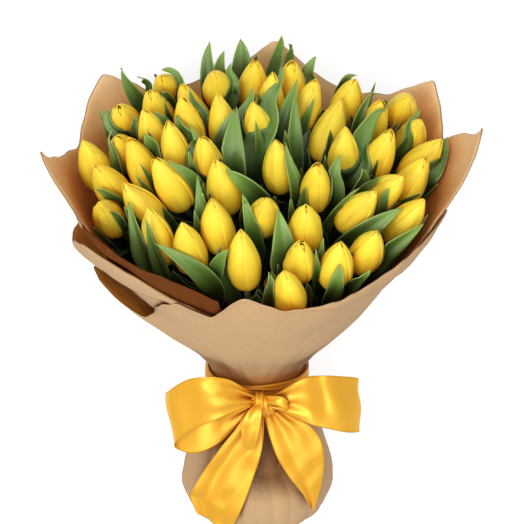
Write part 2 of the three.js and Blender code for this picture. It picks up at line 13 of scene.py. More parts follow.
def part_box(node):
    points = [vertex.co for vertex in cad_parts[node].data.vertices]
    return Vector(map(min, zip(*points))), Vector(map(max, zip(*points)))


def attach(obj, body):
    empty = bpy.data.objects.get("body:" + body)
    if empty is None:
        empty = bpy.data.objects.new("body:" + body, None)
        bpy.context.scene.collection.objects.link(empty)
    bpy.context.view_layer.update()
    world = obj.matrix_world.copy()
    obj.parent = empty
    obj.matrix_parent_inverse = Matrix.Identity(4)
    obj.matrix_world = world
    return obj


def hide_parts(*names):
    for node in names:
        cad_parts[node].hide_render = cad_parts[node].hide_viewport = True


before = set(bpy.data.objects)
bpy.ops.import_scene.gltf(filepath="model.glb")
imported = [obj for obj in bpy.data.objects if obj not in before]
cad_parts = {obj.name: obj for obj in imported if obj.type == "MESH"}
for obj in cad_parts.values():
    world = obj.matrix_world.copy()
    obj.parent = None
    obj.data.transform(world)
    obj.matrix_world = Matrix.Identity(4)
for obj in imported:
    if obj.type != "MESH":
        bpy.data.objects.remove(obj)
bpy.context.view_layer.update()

# The bunch's place, and the sizes that its solids were built with
LIE_TILT = math.radians(12)
TIE_HEIGHT = 95
STEM_RADIUS = 3.6
BUNDLE_RADIUS = 30  # of the stems in the tie
BUNDLE_REACH = 150  # how far out a bloom is whose stem lies at the bundle's edge
BUNDLE_MIDDLE = 15  # how far the blooms' middle lies in front of the tie's
CUT_SPREAD = 1.5  # how much wider the bundle is at its cut end
NECK_BEND = 28  # how far below its bloom a stem bends
TIE_RISE = 12  # how far above the tie the stems begin to spread
SPREAD_SHARE = 0.4  # of the way from there to the bend lies a stem's next point
SHEET_STEP = 2.1  # from one sheet of the wrap to the next
SOLID_PAPER = 0.9  # how thick the solids' paper is
NECK_RADIUS = 41
RIPPLE = 2
STEM_END = -127
PAPER_END = -140
CLEAR = 0.35
TIP_LIFT = 62  # how far a leaf's tip and its low point lie above the blooms' bases
LOW_LIFT = 26
LEAF_ROOT_SHARE = 0.6  # where on its stem's upper part a leaf grows
ACROSS = np.array([0.3, 0.1, 1.0])  # lies along no bloom and no stem

# Real thicknesses of what the solids show thicker
PETAL_THICK = 0.5
LEAF_THICK = 0.7
PAPER_THICK = 0.35
SATIN_THICK = 0.35

# The camera that took the photograph
PICTURE_SIZE = 524
FOCAL_PIXELS = 1648
CAMERA_FAR = 1600
TIE_IN_PICTURE = (257, 372)
LOOK_DOWN = math.radians(28)
SENSOR = 36
FARTHEST = 20  # metres

# The studio, in metres and watts, and each light's name, place, size, power and colour
FLOOR_HALF = 4
FLOOR_GREY = 0.25
FLOOR_GLOW = 0.8
SKY = 0.54
LIGHTS = [
    ("key", (0.1, 0.4, 2.1), 1.8, 25, (1, 0.985, 0.96)),
    ("left", (-0.8, 0.15, 1.9), 0.5, 14, (1, 0.985, 0.96)),
    ("front", (-0.1, -0.9, 1.85), 0.9, 11, (1, 0.99, 0.97)),
]

# Leaves as they show in the picture: tip x, tip y, low x, low y, blade width in millimetres
LEAVES_SEEN = [
    (121, 68, 139, 100, 17), (138, 77, 159, 94, 13), (162, 70, 179, 100, 14), (161, 89, 165, 114, 12),
    (97, 109, 114, 134, 12), (108, 110, 130, 130, 15), (112, 130, 119, 177, 12), (210, 42, 207, 87, 16),
    (224, 51, 217, 90, 15), (240, 39, 244, 80, 22), (231, 63, 224, 107, 17), (189, 89, 205, 134, 13),
    (134, 115, 144, 144, 12), (145, 134, 163, 162, 20), (154, 112, 165, 139, 13), (177, 115, 189, 160, 21),
    (189, 126, 212, 172, 14), (234, 109, 217, 155, 15), (236, 107, 232, 174, 25), (253, 87, 242, 145, 18),
    (284, 64, 250, 158, 26), (164, 162, 206, 187, 13), (224, 169, 262, 199, 21), (243, 194, 256, 240, 15),
    (198, 176, 202, 232, 12), (95, 189, 127, 210, 15), (105, 209, 127, 226, 12), (129, 202, 146, 262, 19),
    (155, 243, 216, 284, 19), (228, 250, 214, 272, 15), (281, 36, 275, 72, 13), (290, 44, 289, 67, 10),
    (316, 57, 299, 92, 17), (357, 75, 337, 97, 15), (297, 80, 279, 139, 19), (296, 94, 294, 150, 15),
    (374, 91, 352, 134, 15), (383, 103, 345, 167, 24), (419, 109, 399, 160, 15), (447, 137, 417, 189, 24),
    (340, 155, 329, 197, 18), (282, 144, 301, 200, 17), (401, 208, 352, 238, 21), (427, 224, 377, 258, 20),
    (362, 169, 360, 192, 19), (279, 209, 284, 262, 23), (339, 262, 334, 297, 16), (269, 272, 272, 304, 15),
    (391, 187, 379, 207, 12), (376, 273, 350, 286, 15),
]

# The wrap's radius at each height, and each sheet's top edge: angle from the front, the edge's height
# and, where the sheet leans out, how far
FUNNEL = [
    (PAPER_END, 64), (-116, 71), (-78, 62), (-38, 49), (-12, NECK_RADIUS), (10, NECK_RADIUS), (36, 59),
    (80, 92), (140, 133), (200, 168), (245, 189), (300, 201),
]
LEAN_FROM = 70  # how far under its top edge a sheet starts to lean out
BACK_EDGE = [
    (-330, 148), (-309, 150), (-293, 170), (-286, 208), (-281, 248), (-278, 271), (-274, 258), (-268, 247),
    (-263, 243), (-253, 222), (-245, 241), (-238, 262), (-230, 246), (-222, 231), (-209, 232), (-199, 246),
    (-191, 267), (-185, 284), (-179, 267), (-171, 254), (-158, 239), (-146, 232), (-136, 249), (-130, 260),
    (-123, 242), (-111, 209), (-98, 217), (-88, 231), (-81, 248), (-77, 218), (-73, 197), (-62, 199),
    (-49, 198), (-37, 185), (-23, 173), (-13, 158),
]
SIDE_EDGE = [
    (-110, 156), (-98, 170, 2), (-92, 168, 5), (-86, 167, 11), (-80, 167, 17), (-75, 168, 17),
    (-70, 174, 16), (-64, 183, 14), (-59, 187, 11), (-50, 180, 5), (-41, 171, 1), (-32, 157), (-25, 147),
    (-15, 133), (0, 124), (10, 114),
]
FRONT_EDGE = [
    (-80, 128, 7), (-70, 145, 13), (-62, 141, 17), (-56, 124, 16), (-50, 107, 9), (-45, 119, 2), (-39, 134),
    (-33, 144), (-27, 150), (-22, 142), (-16, 135), (-9, 157), (-4, 171), (2, 163), (9, 152), (20, 151),
    (30, 154), (38, 159), (54, 173), (66, 181), (74, 184), (79, 192), (87, 181), (96, 162),
]

tie_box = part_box("stem_tie")
TIE = (np.array(tie_box[0]) + np.array(tie_box[1])) / 2
TILT = np.array([
    [1, 0, 0],
    [0, math.cos(LIE_TILT), -math.sin(LIE_TILT)],
    [0, math.sin(LIE_TILT), math.cos(LIE_TILT)],
])
CAMERA_UP = np.array([0, math.cos(LOOK_DOWN), -math.sin(LOOK_DOWN)])
TO_CAMERA = np.array([0, math.sin(LOOK_DOWN), math.cos(LOOK_DOWN)])
PIXELS_PER_MM = FOCAL_PIXELS / CAMERA_FAR
MIDDLE = PICTURE_SIZE / 2
CAMERA = (
    np.array([(MIDDLE - TIE_IN_PICTURE[0]) / PIXELS_PER_MM, 0, 0])
    + CAMERA_UP * (TIE_IN_PICTURE[1] - MIDDLE) / PIXELS_PER_MM
    + TO_CAMERA * CAMERA_FAR
)


def to_world(points):
    """Millimetres in the bunch's own frame as metres in the scene."""
    return np.asarray(points) @ TILT.T / 1000 + TIE


def to_bunch(points):
    return (np.asarray(points) - TIE) * 1000 @ TILT


def unit(v):
    v = np.asarray(v, float)
    return v / np.maximum(np.linalg.norm(v, axis=-1, keepdims=True), 1e-9)


def smooth(pairs, at):
    """A smooth curve through (place, value) pairs, with the same slopes as the solids' source."""
    xs, ys = (np.array(v, float) for v in zip(*pairs))
    slope = np.empty_like(xs)
    slope[1:-1] = (ys[2:] - ys[:-2]) / (xs[2:] - xs[:-2])
    slope[0] = (ys[1] - ys[0]) / (xs[1] - xs[0])
    slope[-1] = (ys[-1] - ys[-2]) / (xs[-1] - xs[-2])
    at = np.clip(at, xs[0], xs[-1])
    i = np.clip(np.searchsorted(xs, at, side="right") - 1, 0, len(xs) - 2)
    span = xs[i + 1] - xs[i]
    t = (at - xs[i]) / span
    eased = t * t * (3 - 2 * t)
    bend = t * (1 - t) * span
    return ys[i] + (ys[i + 1] - ys[i]) * eased + bend * ((1 - t) * slope[i] - t * slope[i + 1])


def step(x, low, high):
    """A smooth rise from 0 at low to 1 at high."""
    t = np.clip((np.asarray(x, float) - low) / (high - low), 0, 1)
    return t * t * (3 - 2 * t)


def floor_at(y):
    """The floor's z in the bunch's own frame."""
    return -(TIE_HEIGHT + y * math.sin(LIE_TILT)) / math.cos(LIE_TILT)


def funnel_radius(y):
    return smooth(FUNNEL, y)


def ripple(seed, size, *places):
    """Smooth seeded waves of about the given size, from -1 to 1, over any number of coordinates."""
    rng = np.random.default_rng(seed)
    total = 0
    for _ in range(7):
        turn = unit(rng.normal(size=len(places))) * rng.uniform(0.6, 1.6) * 2 * math.pi / size
        total = total + np.sin(sum(k * p for k, p in zip(turn, places)) + rng.uniform(0, 2 * math.pi))
    return total / 3.5


def square_to(along):
    """Two directions that are square to an axis and to each other."""
    right = unit(np.cross(along, ACROSS))
    return right, np.cross(right, along)


def beside(along, turn):
    """The direction square to an axis at an angle round it."""
    right, front = square_to(along)
    return right * math.cos(turn) + front * math.sin(turn)


def round_axis(turn, radius, y):
    """Points round the stems' axis, at angles from the front."""
    return np.stack([np.sin(turn) * radius, y, np.cos(turn) * radius], -1)


def pairs_of(one, other):
    """A sheet's texture places, from two arrays that fill its grid together."""
    return np.stack(np.broadcast_arrays(one, other), -1)


def sight(x, y):
    """The direction from the camera through a point of the picture."""
    return unit([(x - MIDDLE) / FOCAL_PIXELS, 0, 0] + CAMERA_UP * (MIDDLE - y) / FOCAL_PIXELS - TO_CAMERA)


def seen_at(x, y, z):
    """The place that is seen at a point of the picture and lies at a given height over the tie."""
    ray = sight(x, y)
    return CAMERA + ray * (z - CAMERA[2]) / ray[2]


def put(name, data):
    obj = bpy.data.objects.new(name, data)
    bpy.context.scene.collection.objects.link(obj)
    return obj


def set_inputs(node, values):
    for name, value in values.items():
        node.inputs[name].default_value = value


# Camera, floor and lights
def look_from(obj, place, target, up):
    back = unit(np.asarray(place) - target)
    right = unit(np.cross(up, back))
    axes = np.column_stack([right, np.cross(back, right), back])
    obj.matrix_world = Matrix.Translation(Vector(place)) @ Matrix(axes.tolist()).to_4x4()


def add_camera():
    camera = put("camera", bpy.data.cameras.new("camera"))
    camera.data.sensor_width = SENSOR
    camera.data.lens = SENSOR * FOCAL_PIXELS / PICTURE_SIZE
    camera.data.clip_end = FARTHEST
    look_from(camera, to_world(CAMERA), to_world(CAMERA - TO_CAMERA * CAMERA_FAR), TILT @ CAMERA_UP)
    bpy.context.scene.camera = camera
    bpy.context.scene.view_settings.view_transform = "Standard"


def add_light(name, place, size, power, color):
    light = put(name, bpy.data.lights.new(name, "AREA"))
    light.data.size = size
    light.data.energy = power
    light.data.color = color
    look_from(light, place, np.zeros(3), np.array([0.0, 1.0, 0.01]))


def add_floor():
    mesh = bpy.data.meshes.new("floor")
    corners = [(x * FLOOR_HALF, y * FLOOR_HALF, 0) for x, y in ((-1, -1), (1, -1), (1, 1), (-1, 1))]
    mesh.from_pydata(corners, [], [(0, 1, 2, 3)])
    floor = put("floor", mesh)
    material = bpy.data.materials.new("floor")
    material.use_nodes = True
    set_inputs(material.node_tree.nodes["Principled BSDF"], {
        "Base Color": (FLOOR_GREY, FLOOR_GREY, FLOOR_GREY, 1), "Roughness": 0.9,
        "Emission Color": (1, 1, 1, 1), "Emission Strength": FLOOR_GLOW,
    })
    mesh.materials.append(material)


def add_sky():
    world = bpy.data.worlds.new("studio")
    bpy.context.scene.world = world
    world.use_nodes = True
    set_inputs(world.node_tree.nodes["Background"], {"Color": (1, 1, 1, 1), "Strength": SKY})


add_camera()
add_floor()
add_sky()
for light in LIGHTS:
    add_light(*light)


# Meshes
CAP_SHARE = 0.02  # of a tube's radius is open at each end


class Skin:
    """Gathers closed sheets and tubes, in the bunch's millimetres, into one mesh."""

    def __init__(self):
        self.points, self.quads, self.uvs, self.marks, self.count = [], [], [], [], 0

    def add(self, points, quads, uvs, marks):
        """Takes in faces; each one's mark is the number of its material."""
        self.points.append(points)
        self.quads.append(np.asarray(quads) + self.count)
        self.uvs.append(uvs)
        self.marks.append(np.asarray(marks))
        self.count += len(points)

    def sheet(self, front, thick, uv, marks=(0, 0)):
        """A closed sheet under a grid of points whose rows run up and columns to the right.

        The first mark is for its outside and rim, and the other for its inside.
        """
        rows, columns = front.shape[:2]
        across = np.gradient(front, axis=1)
        up = np.gradient(front, axis=0)
        back = front - unit(np.cross(across, up)) * thick
        at = np.arange(rows * columns).reshape(rows, columns)
        face = np.stack([at[:-1, :-1], at[:-1, 1:], at[1:, 1:], at[1:, :-1]], -1).reshape(-1, 4)
        under = face[:, ::-1] + rows * columns
        rim = np.concatenate([at[0, :], at[1:, -1], at[-1, -2::-1], at[-2:0:-1, 0]])
        after = np.roll(rim, -1)
        side = np.stack([rim, rim + rows * columns, after + rows * columns, after], -1)
        flat = np.concatenate([front.reshape(-1, 3), back.reshape(-1, 3)])
        sides = [(face, marks[0]), (under, marks[1]), (side, marks[0])]
        mark = np.concatenate([np.broadcast_to(number, len(quads)) for quads, number in sides])
        self.add(flat, np.concatenate([face, under, side]), np.tile(uv.reshape(-1, 2), (2, 1)), mark)

    def tube(self, path, radii, sides, end_mark=0):
        """A round tube along a path; the mark is for its first end."""
        path = np.asarray(path, float)
        along = unit(np.gradient(path, axis=0))
        right, front = square_to(along)
        turn = np.linspace(0, 2 * math.pi, sides, endpoint=False)
        ring = right[:, None] * np.cos(turn)[None, :, None] + front[:, None] * np.sin(turn)[None, :, None]
        body = path[:, None] + ring * np.asarray(radii)[:, None, None]
        caps = [path[k] + (body[k] - path[k]) * CAP_SHARE for k in (0, -1)]
        body = np.concatenate([[caps[0]], body, [caps[1]]])
        rows = len(body)
        at = np.arange(rows * sides).reshape(rows, sides)
        after = np.roll(at, -1, axis=1)
        face = np.stack([at[:-1], at[1:], after[1:], after[:-1]], -1).reshape(-1, 4)
        marks = np.zeros((rows - 1, sides), int)
        marks[0] = end_mark
        uv = pairs_of(turn / (2 * math.pi), np.linspace(0, 1, rows)[:, None])
        self.add(body.reshape(-1, 3), face, uv.reshape(-1, 2), marks.ravel())

    def build(self, name, materials, replaces):
        """The mesh as an object that stands for the solids it replaces."""
        mesh = bpy.data.meshes.new(name)
        points = to_world(np.concatenate(self.points))
        quads = np.concatenate(self.quads)
        mesh.vertices.add(len(points))
        mesh.vertices.foreach_set("co", points.ravel())
        mesh.loops.add(quads.size)
        mesh.loops.foreach_set("vertex_index", quads.ravel())
        mesh.polygons.add(len(quads))
        mesh.polygons.foreach_set("loop_start", np.arange(0, quads.size, 4))
        mesh.polygons.foreach_set("material_index", np.concatenate(self.marks))
        mesh.update(calc_edges=True)
        layer = mesh.uv_layers.new(name="UVMap")
        layer.data.foreach_set("uv", np.concatenate(self.uvs)[quads.ravel()].ravel())
        mesh.polygons.foreach_set("use_smooth", np.ones(len(quads), bool))
        mesh.validate()
        for material in materials:
            mesh.materials.append(material)
        obj = put(name, mesh)
        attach(obj, "root")
        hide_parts(*replaces)
        return obj


# Materials: ramps of a place from 0 to 1 and a colour or share, in the order of the places
NO_TINT = (1.0, 1.0, 1.0)
# Petal tones along its length: the green at the foot is its own colour, and the orange just above it is
# painted shade.
PETAL_TONES = [
    (0.0, (0.62, 0.50, 0.06)), (0.06, (0.90, 0.52, 0.03)), (0.3, (0.94, 0.61, 0.036)),
    (0.7, (0.96, 0.69, 0.052)), (1.0, (0.95, 0.69, 0.06)),
]
PETAL_SHADE = [(0.1, (0.85, 0.58, 0.35)), (0.5, (1.0, 0.93, 0.85)), (0.8, NO_TINT)]
PETAL_MOODS = [(0.0, 0.25), (0.25, 0.4), (0.1, 0.55), (0.45, 0.3)]  # how green and how warm
# Leaf tones from root to tip: the near black towards the root is painted shade, and the tips are lighter.
LEAF_TONES = [
    (0.0, (0.005, 0.012, 0.003)), (0.3, (0.02, 0.052, 0.008)), (0.55, (0.066, 0.155, 0.022)),
    (0.8, (0.125, 0.24, 0.034)), (1.0, (0.21, 0.33, 0.055)),
]
LEAF_SHADE = [(0.08, 0.08), (0.7, 1.0)]
LEAF_MISTS = [0.25, 0.6, 0.85]  # how waxy
STEM_SHADE = [(0.08, 0.1), (0.7, 1.0)]
FOLD_SHADE = [(0.1, (0.15, 0.07, 0.025)), (0.55, (0.31, 0.18, 0.09)), (0.92, NO_TINT)]
# Painted shade beside the neck, tinted orange as painted light from the ribbon.
NECK_SHADE = [(0.05, (0.9, 0.42, 0.12)), (0.5, (1.0, 0.72, 0.4)), (0.9, NO_TINT)]
INSIDE_SHADE = [(0.05, (0.6, 0.3, 0.12)), (0.5, (0.85, 0.66, 0.46)), (0.9, NO_TINT)]
# Painted shade in the side and front sheets' hollows, tinted warm as painted light.
HOLLOW_SHADE = [(0.05, (1.0, 0.72, 0.42)), (0.5, (1.0, 0.85, 0.65)), (0.9, NO_TINT)]
SATIN_SHADE = [(0.2, (0.5, 0.2, 0.05)), (0.5, (0.85, 0.62, 0.4)), (0.85, NO_TINT)]
SHADE_RAYS = 8


class Paint:
    """A principled material and short ways to add nodes to it."""

    def __init__(self, name, roughness, specular):
        self.material = bpy.data.materials.new(name)
        self.material.use_nodes = True
        self.tree = self.material.node_tree
        self.shader = self.tree.nodes["Principled BSDF"]
        set_inputs(self.shader, {"Roughness": roughness, "Specular IOR Level": specular})
        uv = self.node("UVMap")
        uv.uv_map = "UVMap"
        self.sheet = uv.outputs["UV"]
        split = self.node("SeparateXYZ")
        self.link(self.sheet, split.inputs[0])
        self.across, self.along = split.outputs["X"], split.outputs["Y"]
        self.place = self.node("TexCoord").outputs["Object"]

    def soften(self, weight, radius, scale):
        set_inputs(self.shader, {
            "Subsurface Weight": weight, "Subsurface Radius": radius, "Subsurface Scale": scale,
        })

    def off_middle(self):
        """How far across from the middle, up to 0.5 at an edge."""
        return self.math("ABSOLUTE", self.math("SUBTRACT", self.across, 0.5))

    def node(self, kind):
        return self.tree.nodes.new("ShaderNode" + kind)

    def link(self, a, b):
        self.tree.links.new(a, b)

    def fill(self, socket, value):
        """Gives a socket a number or colour, or links another node's output to it."""
        if isinstance(value, (int, float)):
            socket.default_value = value
        elif isinstance(value, tuple):
            socket.default_value = (*value, 1)
        else:
            self.link(value, socket)

    def math(self, operation, *values):
        node = self.node("Math")
        node.operation = operation
        for socket, value in zip(node.inputs, values):
            self.fill(socket, value)
        return node.outputs[0]

    def ramp(self, value, stops):
        node = self.node("ValToRGB")
        elements = node.color_ramp.elements
        while len(elements) < len(stops):
            elements.new(0.5)
        for element, (place, color) in zip(elements, stops):
            element.position = place
            element.color = (*color, 1) if isinstance(color, tuple) else (color, color, color, 1)
        self.link(value, node.inputs[0])
        return node.outputs[0]

    def stretch(self, scale):
        """The sheet's own places, stretched."""
        node = self.node("Mapping")
        set_inputs(node, {"Scale": scale})
        self.link(self.sheet, node.inputs["Vector"])
        return node.outputs[0]

    def noise(self, vector, scale, detail=3.0, rough=0.5):
        node = self.node("TexNoise")
        set_inputs(node, {"Scale": scale, "Detail": detail, "Roughness": rough})
        self.link(vector, node.inputs["Vector"])
        return node.outputs["Fac"]

    def mix(self, factor, a, b, blend="MIX"):
        node = self.node("Mix")
        node.data_type = "RGBA"
        node.blend_type = blend
        for socket, value in ((0, factor), (6, a), (7, b)):
            self.fill(node.inputs[socket], value)
        return node.outputs[2]

    def finish(self, color, bumps, depth=None, near=None):
        """Links the colour and bumps, each with its height, strength and distance.

        With depth, a reach in metres and a ramp, painted shade tints the hollows. With near, a mask and a
        second ramp, they take that one's painted tints where the mask is.
        """
        if depth:
            reach, stops = depth
            hollow = self.node("AmbientOcclusion")
            hollow.samples = SHADE_RAYS
            set_inputs(hollow, {"Distance": reach})
            shade = self.ramp(hollow.outputs["AO"], stops)
            if near:
                shade = self.mix(near[0], shade, self.ramp(hollow.outputs["AO"], near[1]))
            color = self.mix(1.0, color, shade, "MULTIPLY")
        self.link(color, self.shader.inputs["Base Color"])
        normal = None
        for height, strength, distance in bumps:
            bump = self.node("Bump")
            set_inputs(bump, {"Strength": strength, "Distance": distance})
            self.link(height, bump.inputs["Height"])
            if normal:
                self.link(normal, bump.inputs["Normal"])
            normal = bump.outputs["Normal"]
        self.link(normal, self.shader.inputs["Normal"])
        return self.material


def petal_material(name, green, warm):
    """Yellow with darker streaks and a rib, green at its foot and warm in blotches, with painted shade
    orange above the foot and a painted highlight along its edges.
    """
    paint = Paint(name, 0.5, 0.3)
    paint.soften(0.3, (1.0, 0.55, 0.08), 0.005)
    base = paint.ramp(paint.along, PETAL_TONES)
    streak = paint.noise(paint.stretch((34, 1.6, 1)), 1.0, 4, 0.6)
    streaked = paint.mix(paint.ramp(streak, [(0.45, 0.0), (0.72, 0.22)]), base, (0.92, 0.52, 0.012))
    off_middle = paint.off_middle()
    rib = paint.ramp(off_middle, [(0.0, 0.32), (0.035, 0.08), (0.1, 0.0)])
    fade = paint.ramp(paint.along, [(0.1, 1.0), (0.85, 0.3)])
    ribbed = paint.mix(paint.math("MULTIPLY", rib, fade), streaked, (0.80, 0.50, 0.01))
    # Painted highlight: lighter along the petal's edges.
    rim = paint.ramp(off_middle, [(0.45, 0.0), (0.5, 0.35)])
    rimmed = paint.mix(rim, ribbed, (1.0, 0.82, 0.12))
    blotch = paint.noise(paint.place, 34, 2)
    tinted = paint.mix(paint.ramp(blotch, [(0.45, 0.0), (0.78, warm)]), rimmed, (0.92, 0.42, 0.01))
    flush = paint.math("MULTIPLY", paint.ramp(off_middle, [(0.0, green), (0.3, 0.0)]),
                       paint.ramp(paint.along, [(0.05, 1.0), (0.6, 0.0)]))
    color = paint.mix(flush, tinted, (0.55, 0.56, 0.04))
    return paint.finish(color, [(streak, 0.15, 0.0005)], depth=(0.02, PETAL_SHADE))


def leaf_material(name, waxy):
    """Painted shade darkens it towards the root and it grows lighter towards the tip, with a pale rim and,
    where waxy, a pale mist.
    """
    paint = Paint(name, 0.38, 0.45)
    paint.soften(0.1, (0.4, 1.0, 0.15), 0.002)
    base = paint.ramp(paint.along, LEAF_TONES)
    veins = paint.noise(paint.stretch((46, 0.8, 1)), 1.0, 3, 0.6)
    veined = paint.mix(paint.ramp(veins, [(0.35, 0.0), (0.65, 0.5)]), base,
                       paint.mix(1.0, base, (1.5, 1.4, 1.6), "MULTIPLY"))
    patch = paint.noise(paint.place, 22, 3)
    mist = paint.math("MULTIPLY", paint.ramp(patch, [(0.35, 0.0), (0.72, waxy)]),
                      paint.ramp(paint.along, [(0.3, 0.1), (0.8, 1.0)]))
    misted = paint.mix(mist, veined, (0.17, 0.27, 0.075))
    off_middle = paint.off_middle()
    rim = paint.ramp(off_middle, [(0.44, 0.0), (0.49, 0.8)])
    rimmed = paint.mix(rim, misted, (0.34, 0.46, 0.14))
    crease = paint.ramp(off_middle, [(0.0, 0.4), (0.03, 0.0)])
    color = paint.mix(crease, rimmed, (0.04, 0.10, 0.02))
    return paint.finish(color, [(veins, 0.3, 0.0006)], depth=(0.05, LEAF_SHADE))


def stem_material():
    paint = Paint("stem", 0.45, 0.4)
    patch = paint.noise(paint.place, 60, 3)
    pale = paint.mix(patch, (0.16, 0.24, 0.07), (0.26, 0.32, 0.15))
    # Painted shade: nearly black towards the cut end and just under the bloom.
    color = paint.mix(paint.ramp(paint.along, [(0.0, 0.7), (0.3, 0.0), (0.85, 0.0), (0.97, 1.0)]),
                      (0.03, 0.07, 0.015), pale)
    return paint.finish(color, [(patch, 0.1, 0.0005)], depth=(0.05, STEM_SHADE))


def cut_material():
    paint = Paint("stem_cut", 0.5, 0.5)
    grain = paint.noise(paint.place, 900, 3)
    color = paint.mix(grain, (0.50, 0.58, 0.28), (0.66, 0.70, 0.42))
    return paint.finish(color, [(grain, 0.3, 0.0005)])


def paper_material(name, light, dark, depth, pale=None, neck_shade=None, gloss=0.2):
    """Ribbed brown paper with painted shade tinting its hollows by depth.

    Pale is painted light, a lighter colour towards the blooms' end, and neck_shade paints the shade
    beside the neck orange, as painted light from the ribbon.
    """
    paint = Paint(name, 0.8, gloss)
    paint.soften(0.15, (1.0, 0.55, 0.3), 0.004)
    fibre = paint.noise(paint.stretch((26, 60, 1)), 1.0, 6, 0.7)
    cloud = paint.noise(paint.place, 14, 3)
    color = paint.mix(paint.ramp(fibre, [(0.3, 0.0), (0.7, 1.0)]), dark, light)
    color = paint.mix(paint.ramp(cloud, [(0.3, 0.25), (0.7, 0.0)]), color, dark)
    split = paint.node("SeparateXYZ")
    paint.link(paint.place, split.inputs[0])
    height = split.outputs["Y"]
    # Painted light: lighter towards the blooms' end.
    if pale:
        high = paint.ramp(paint.math("MULTIPLY", height, 4.0), [(0.45, 0.0), (0.85, 0.75)])
        color = paint.mix(high, color, pale)
    near = None
    # A band round the neck where the hollows take the orange painted light.
    if neck_shade:
        place = paint.math("MULTIPLY_ADD", height, 10.0, 1.4)
        near = (paint.ramp(place, [(0.2, 0.0), (0.4, 1.0), (0.7, 1.0), (0.95, 0.0)]), neck_shade)
    wave = paint.node("TexWave")
    wave.bands_direction = "Y"
    set_inputs(wave, {"Scale": 13, "Distortion": 0.5, "Detail": 1})
    paint.link(paint.sheet, wave.inputs["Vector"])
    color = paint.mix(paint.math("MULTIPLY", wave.outputs["Fac"], 0.10), color, dark)
    crumple = paint.node("TexVoronoi")
    crumple.feature = "DISTANCE_TO_EDGE"
    set_inputs(crumple, {"Scale": 17})
    paint.link(paint.place, crumple.inputs["Vector"])
    crease = paint.ramp(crumple.outputs["Distance"], [(0.0, 0.0), (0.09, 1.0)])
    bumps = [(crease, 0.12, 0.0012), (wave.outputs["Fac"], 0.15, 0.0004), (fibre, 0.2, 0.0004)]
    return paint.finish(color, bumps, depth, near)


def satin_material():
    """Golden satin whose sheen runs across the ribbon, with a darker woven hem."""
    paint = Paint("satin", 0.35, 1.0)
    set_inputs(paint.shader, {"Metallic": 0.32, "Specular Tint": (1, 0.86, 0.36, 1), "Anisotropic": 0.75})
    across = paint.node("Tangent")
    across.direction_type = "UV_MAP"
    across.uv_map = "UVMap"
    paint.link(across.outputs["Tangent"], paint.shader.inputs["Tangent"])
    thread = paint.noise(paint.stretch((260, 3, 1)), 1.0, 2)
    cloud = paint.noise(paint.place, 16, 2)
    color = paint.mix(cloud, (0.68, 0.325, 0.018), (0.76, 0.395, 0.028))
    off_middle = paint.off_middle()
    hem = paint.ramp(off_middle, [(0.462, 0.0), (0.48, 0.5), (0.49, 0.1)])
    color = paint.mix(hem, color, (0.52, 0.19, 0.006))
    return paint.finish(color, [(thread, 0.06, 0.0003), (hem, 0.2, 0.0004)], depth=(0.03, SATIN_SHADE))


def twine_material():
    paint = Paint("twine", 0.85, 0.2)
    fibre = paint.noise(paint.place, 700, 4, 0.7)
    color = paint.mix(fibre, (0.30, 0.20, 0.09), (0.55, 0.42, 0.24))
    return paint.finish(color, [(fibre, 0.5, 0.0006)])


PETALS = [petal_material("petal_" + str(i), *mood) for i, mood in enumerate(PETAL_MOODS)]
LEAVES = [leaf_material("leaf_" + str(i), waxy) for i, waxy in enumerate(LEAF_MISTS)]
STEM = stem_material()
STEM_CUT = cut_material()
PAPER_OUTSIDE = paper_material("kraft_outside", (0.50, 0.32, 0.175), (0.405, 0.25, 0.127),
                               (0.05, FOLD_SHADE), neck_shade=NECK_SHADE)
# Its pale colour towards the blooms' end is painted light.
PAPER_INSIDE = paper_material("kraft_inside", (0.64, 0.39, 0.18), (0.54, 0.305, 0.13),
                              (0.05, INSIDE_SHADE), (0.88, 0.60, 0.38))
# A dark copy of the paper for the back sheet's deep lip: painted shade, lighter towards the blooms' end.
PAPER_LIP_PAINTED_SHADE = paper_material("kraft_lip_painted_shade", (0.145, 0.042, 0.008), (0.10, 0.028, 0.005),
                           (0.04, INSIDE_SHADE), (0.85, 0.42, 0.16), gloss=0.03)
# A lighter, warmer copy of the paper's inside for the side and front sheets: painted light in their
# hollows.
PAPER_HOLLOW_PAINTED_LIGHT = paper_material("kraft_hollow_painted_light", (0.80, 0.43, 0.16), (0.70, 0.36, 0.125),
                              (0.05, HOLLOW_SHADE))
SATIN = satin_material()
TWINE = twine_material()


# Blooms: the bud's radius at shares of its length, its outline for the leaves round it, and each petal's
# half width in degrees at shares of its length
BUD_RADII = [
    (0, 3.4), (0.025, 7.0), (0.07, 10.6), (0.16, 13.7), (0.3, 15.3), (0.42, 15.1), (0.55, 13.8),
    (0.68, 11.4), (0.8, 8.1), (0.9, 4.6), (0.96, 2.2), (1, 0.5),
]
BUD_OUTLINE = [(0.05, 9.4), (0.3, 15), (0.6, 13.0), (0.84, 7)]
OUTER_WIDTHS = [(0, 60), (0.12, 65), (0.35, 67), (0.6, 66), (0.8, 64), (0.92, 66), (1, 80)]
INNER_WIDTHS = [(0, 56), (0.2, 60), (0.5, 60), (0.8, 64), (1, 80)]
PETALS_IN_RING = 3
RING_TURN = 360 / PETALS_IN_RING
BLOOM_TURN = 2.4  # from one bloom's first petal to the next one's, in radians
PETAL_GRID = (24, 13)
OUTER_SPIRAL = 0.036  # how far an outer petal's one edge stands out, as a share
INNER_SINK = 0.06  # how far in the inner petals lie, as a share
CREASE_WIDE = 0.14
OPEN_TIP = 1.7  # how far the tips stand apart on one bloom in four
OPEN_SHARE = 0.25
BLOOM_SEED = 100


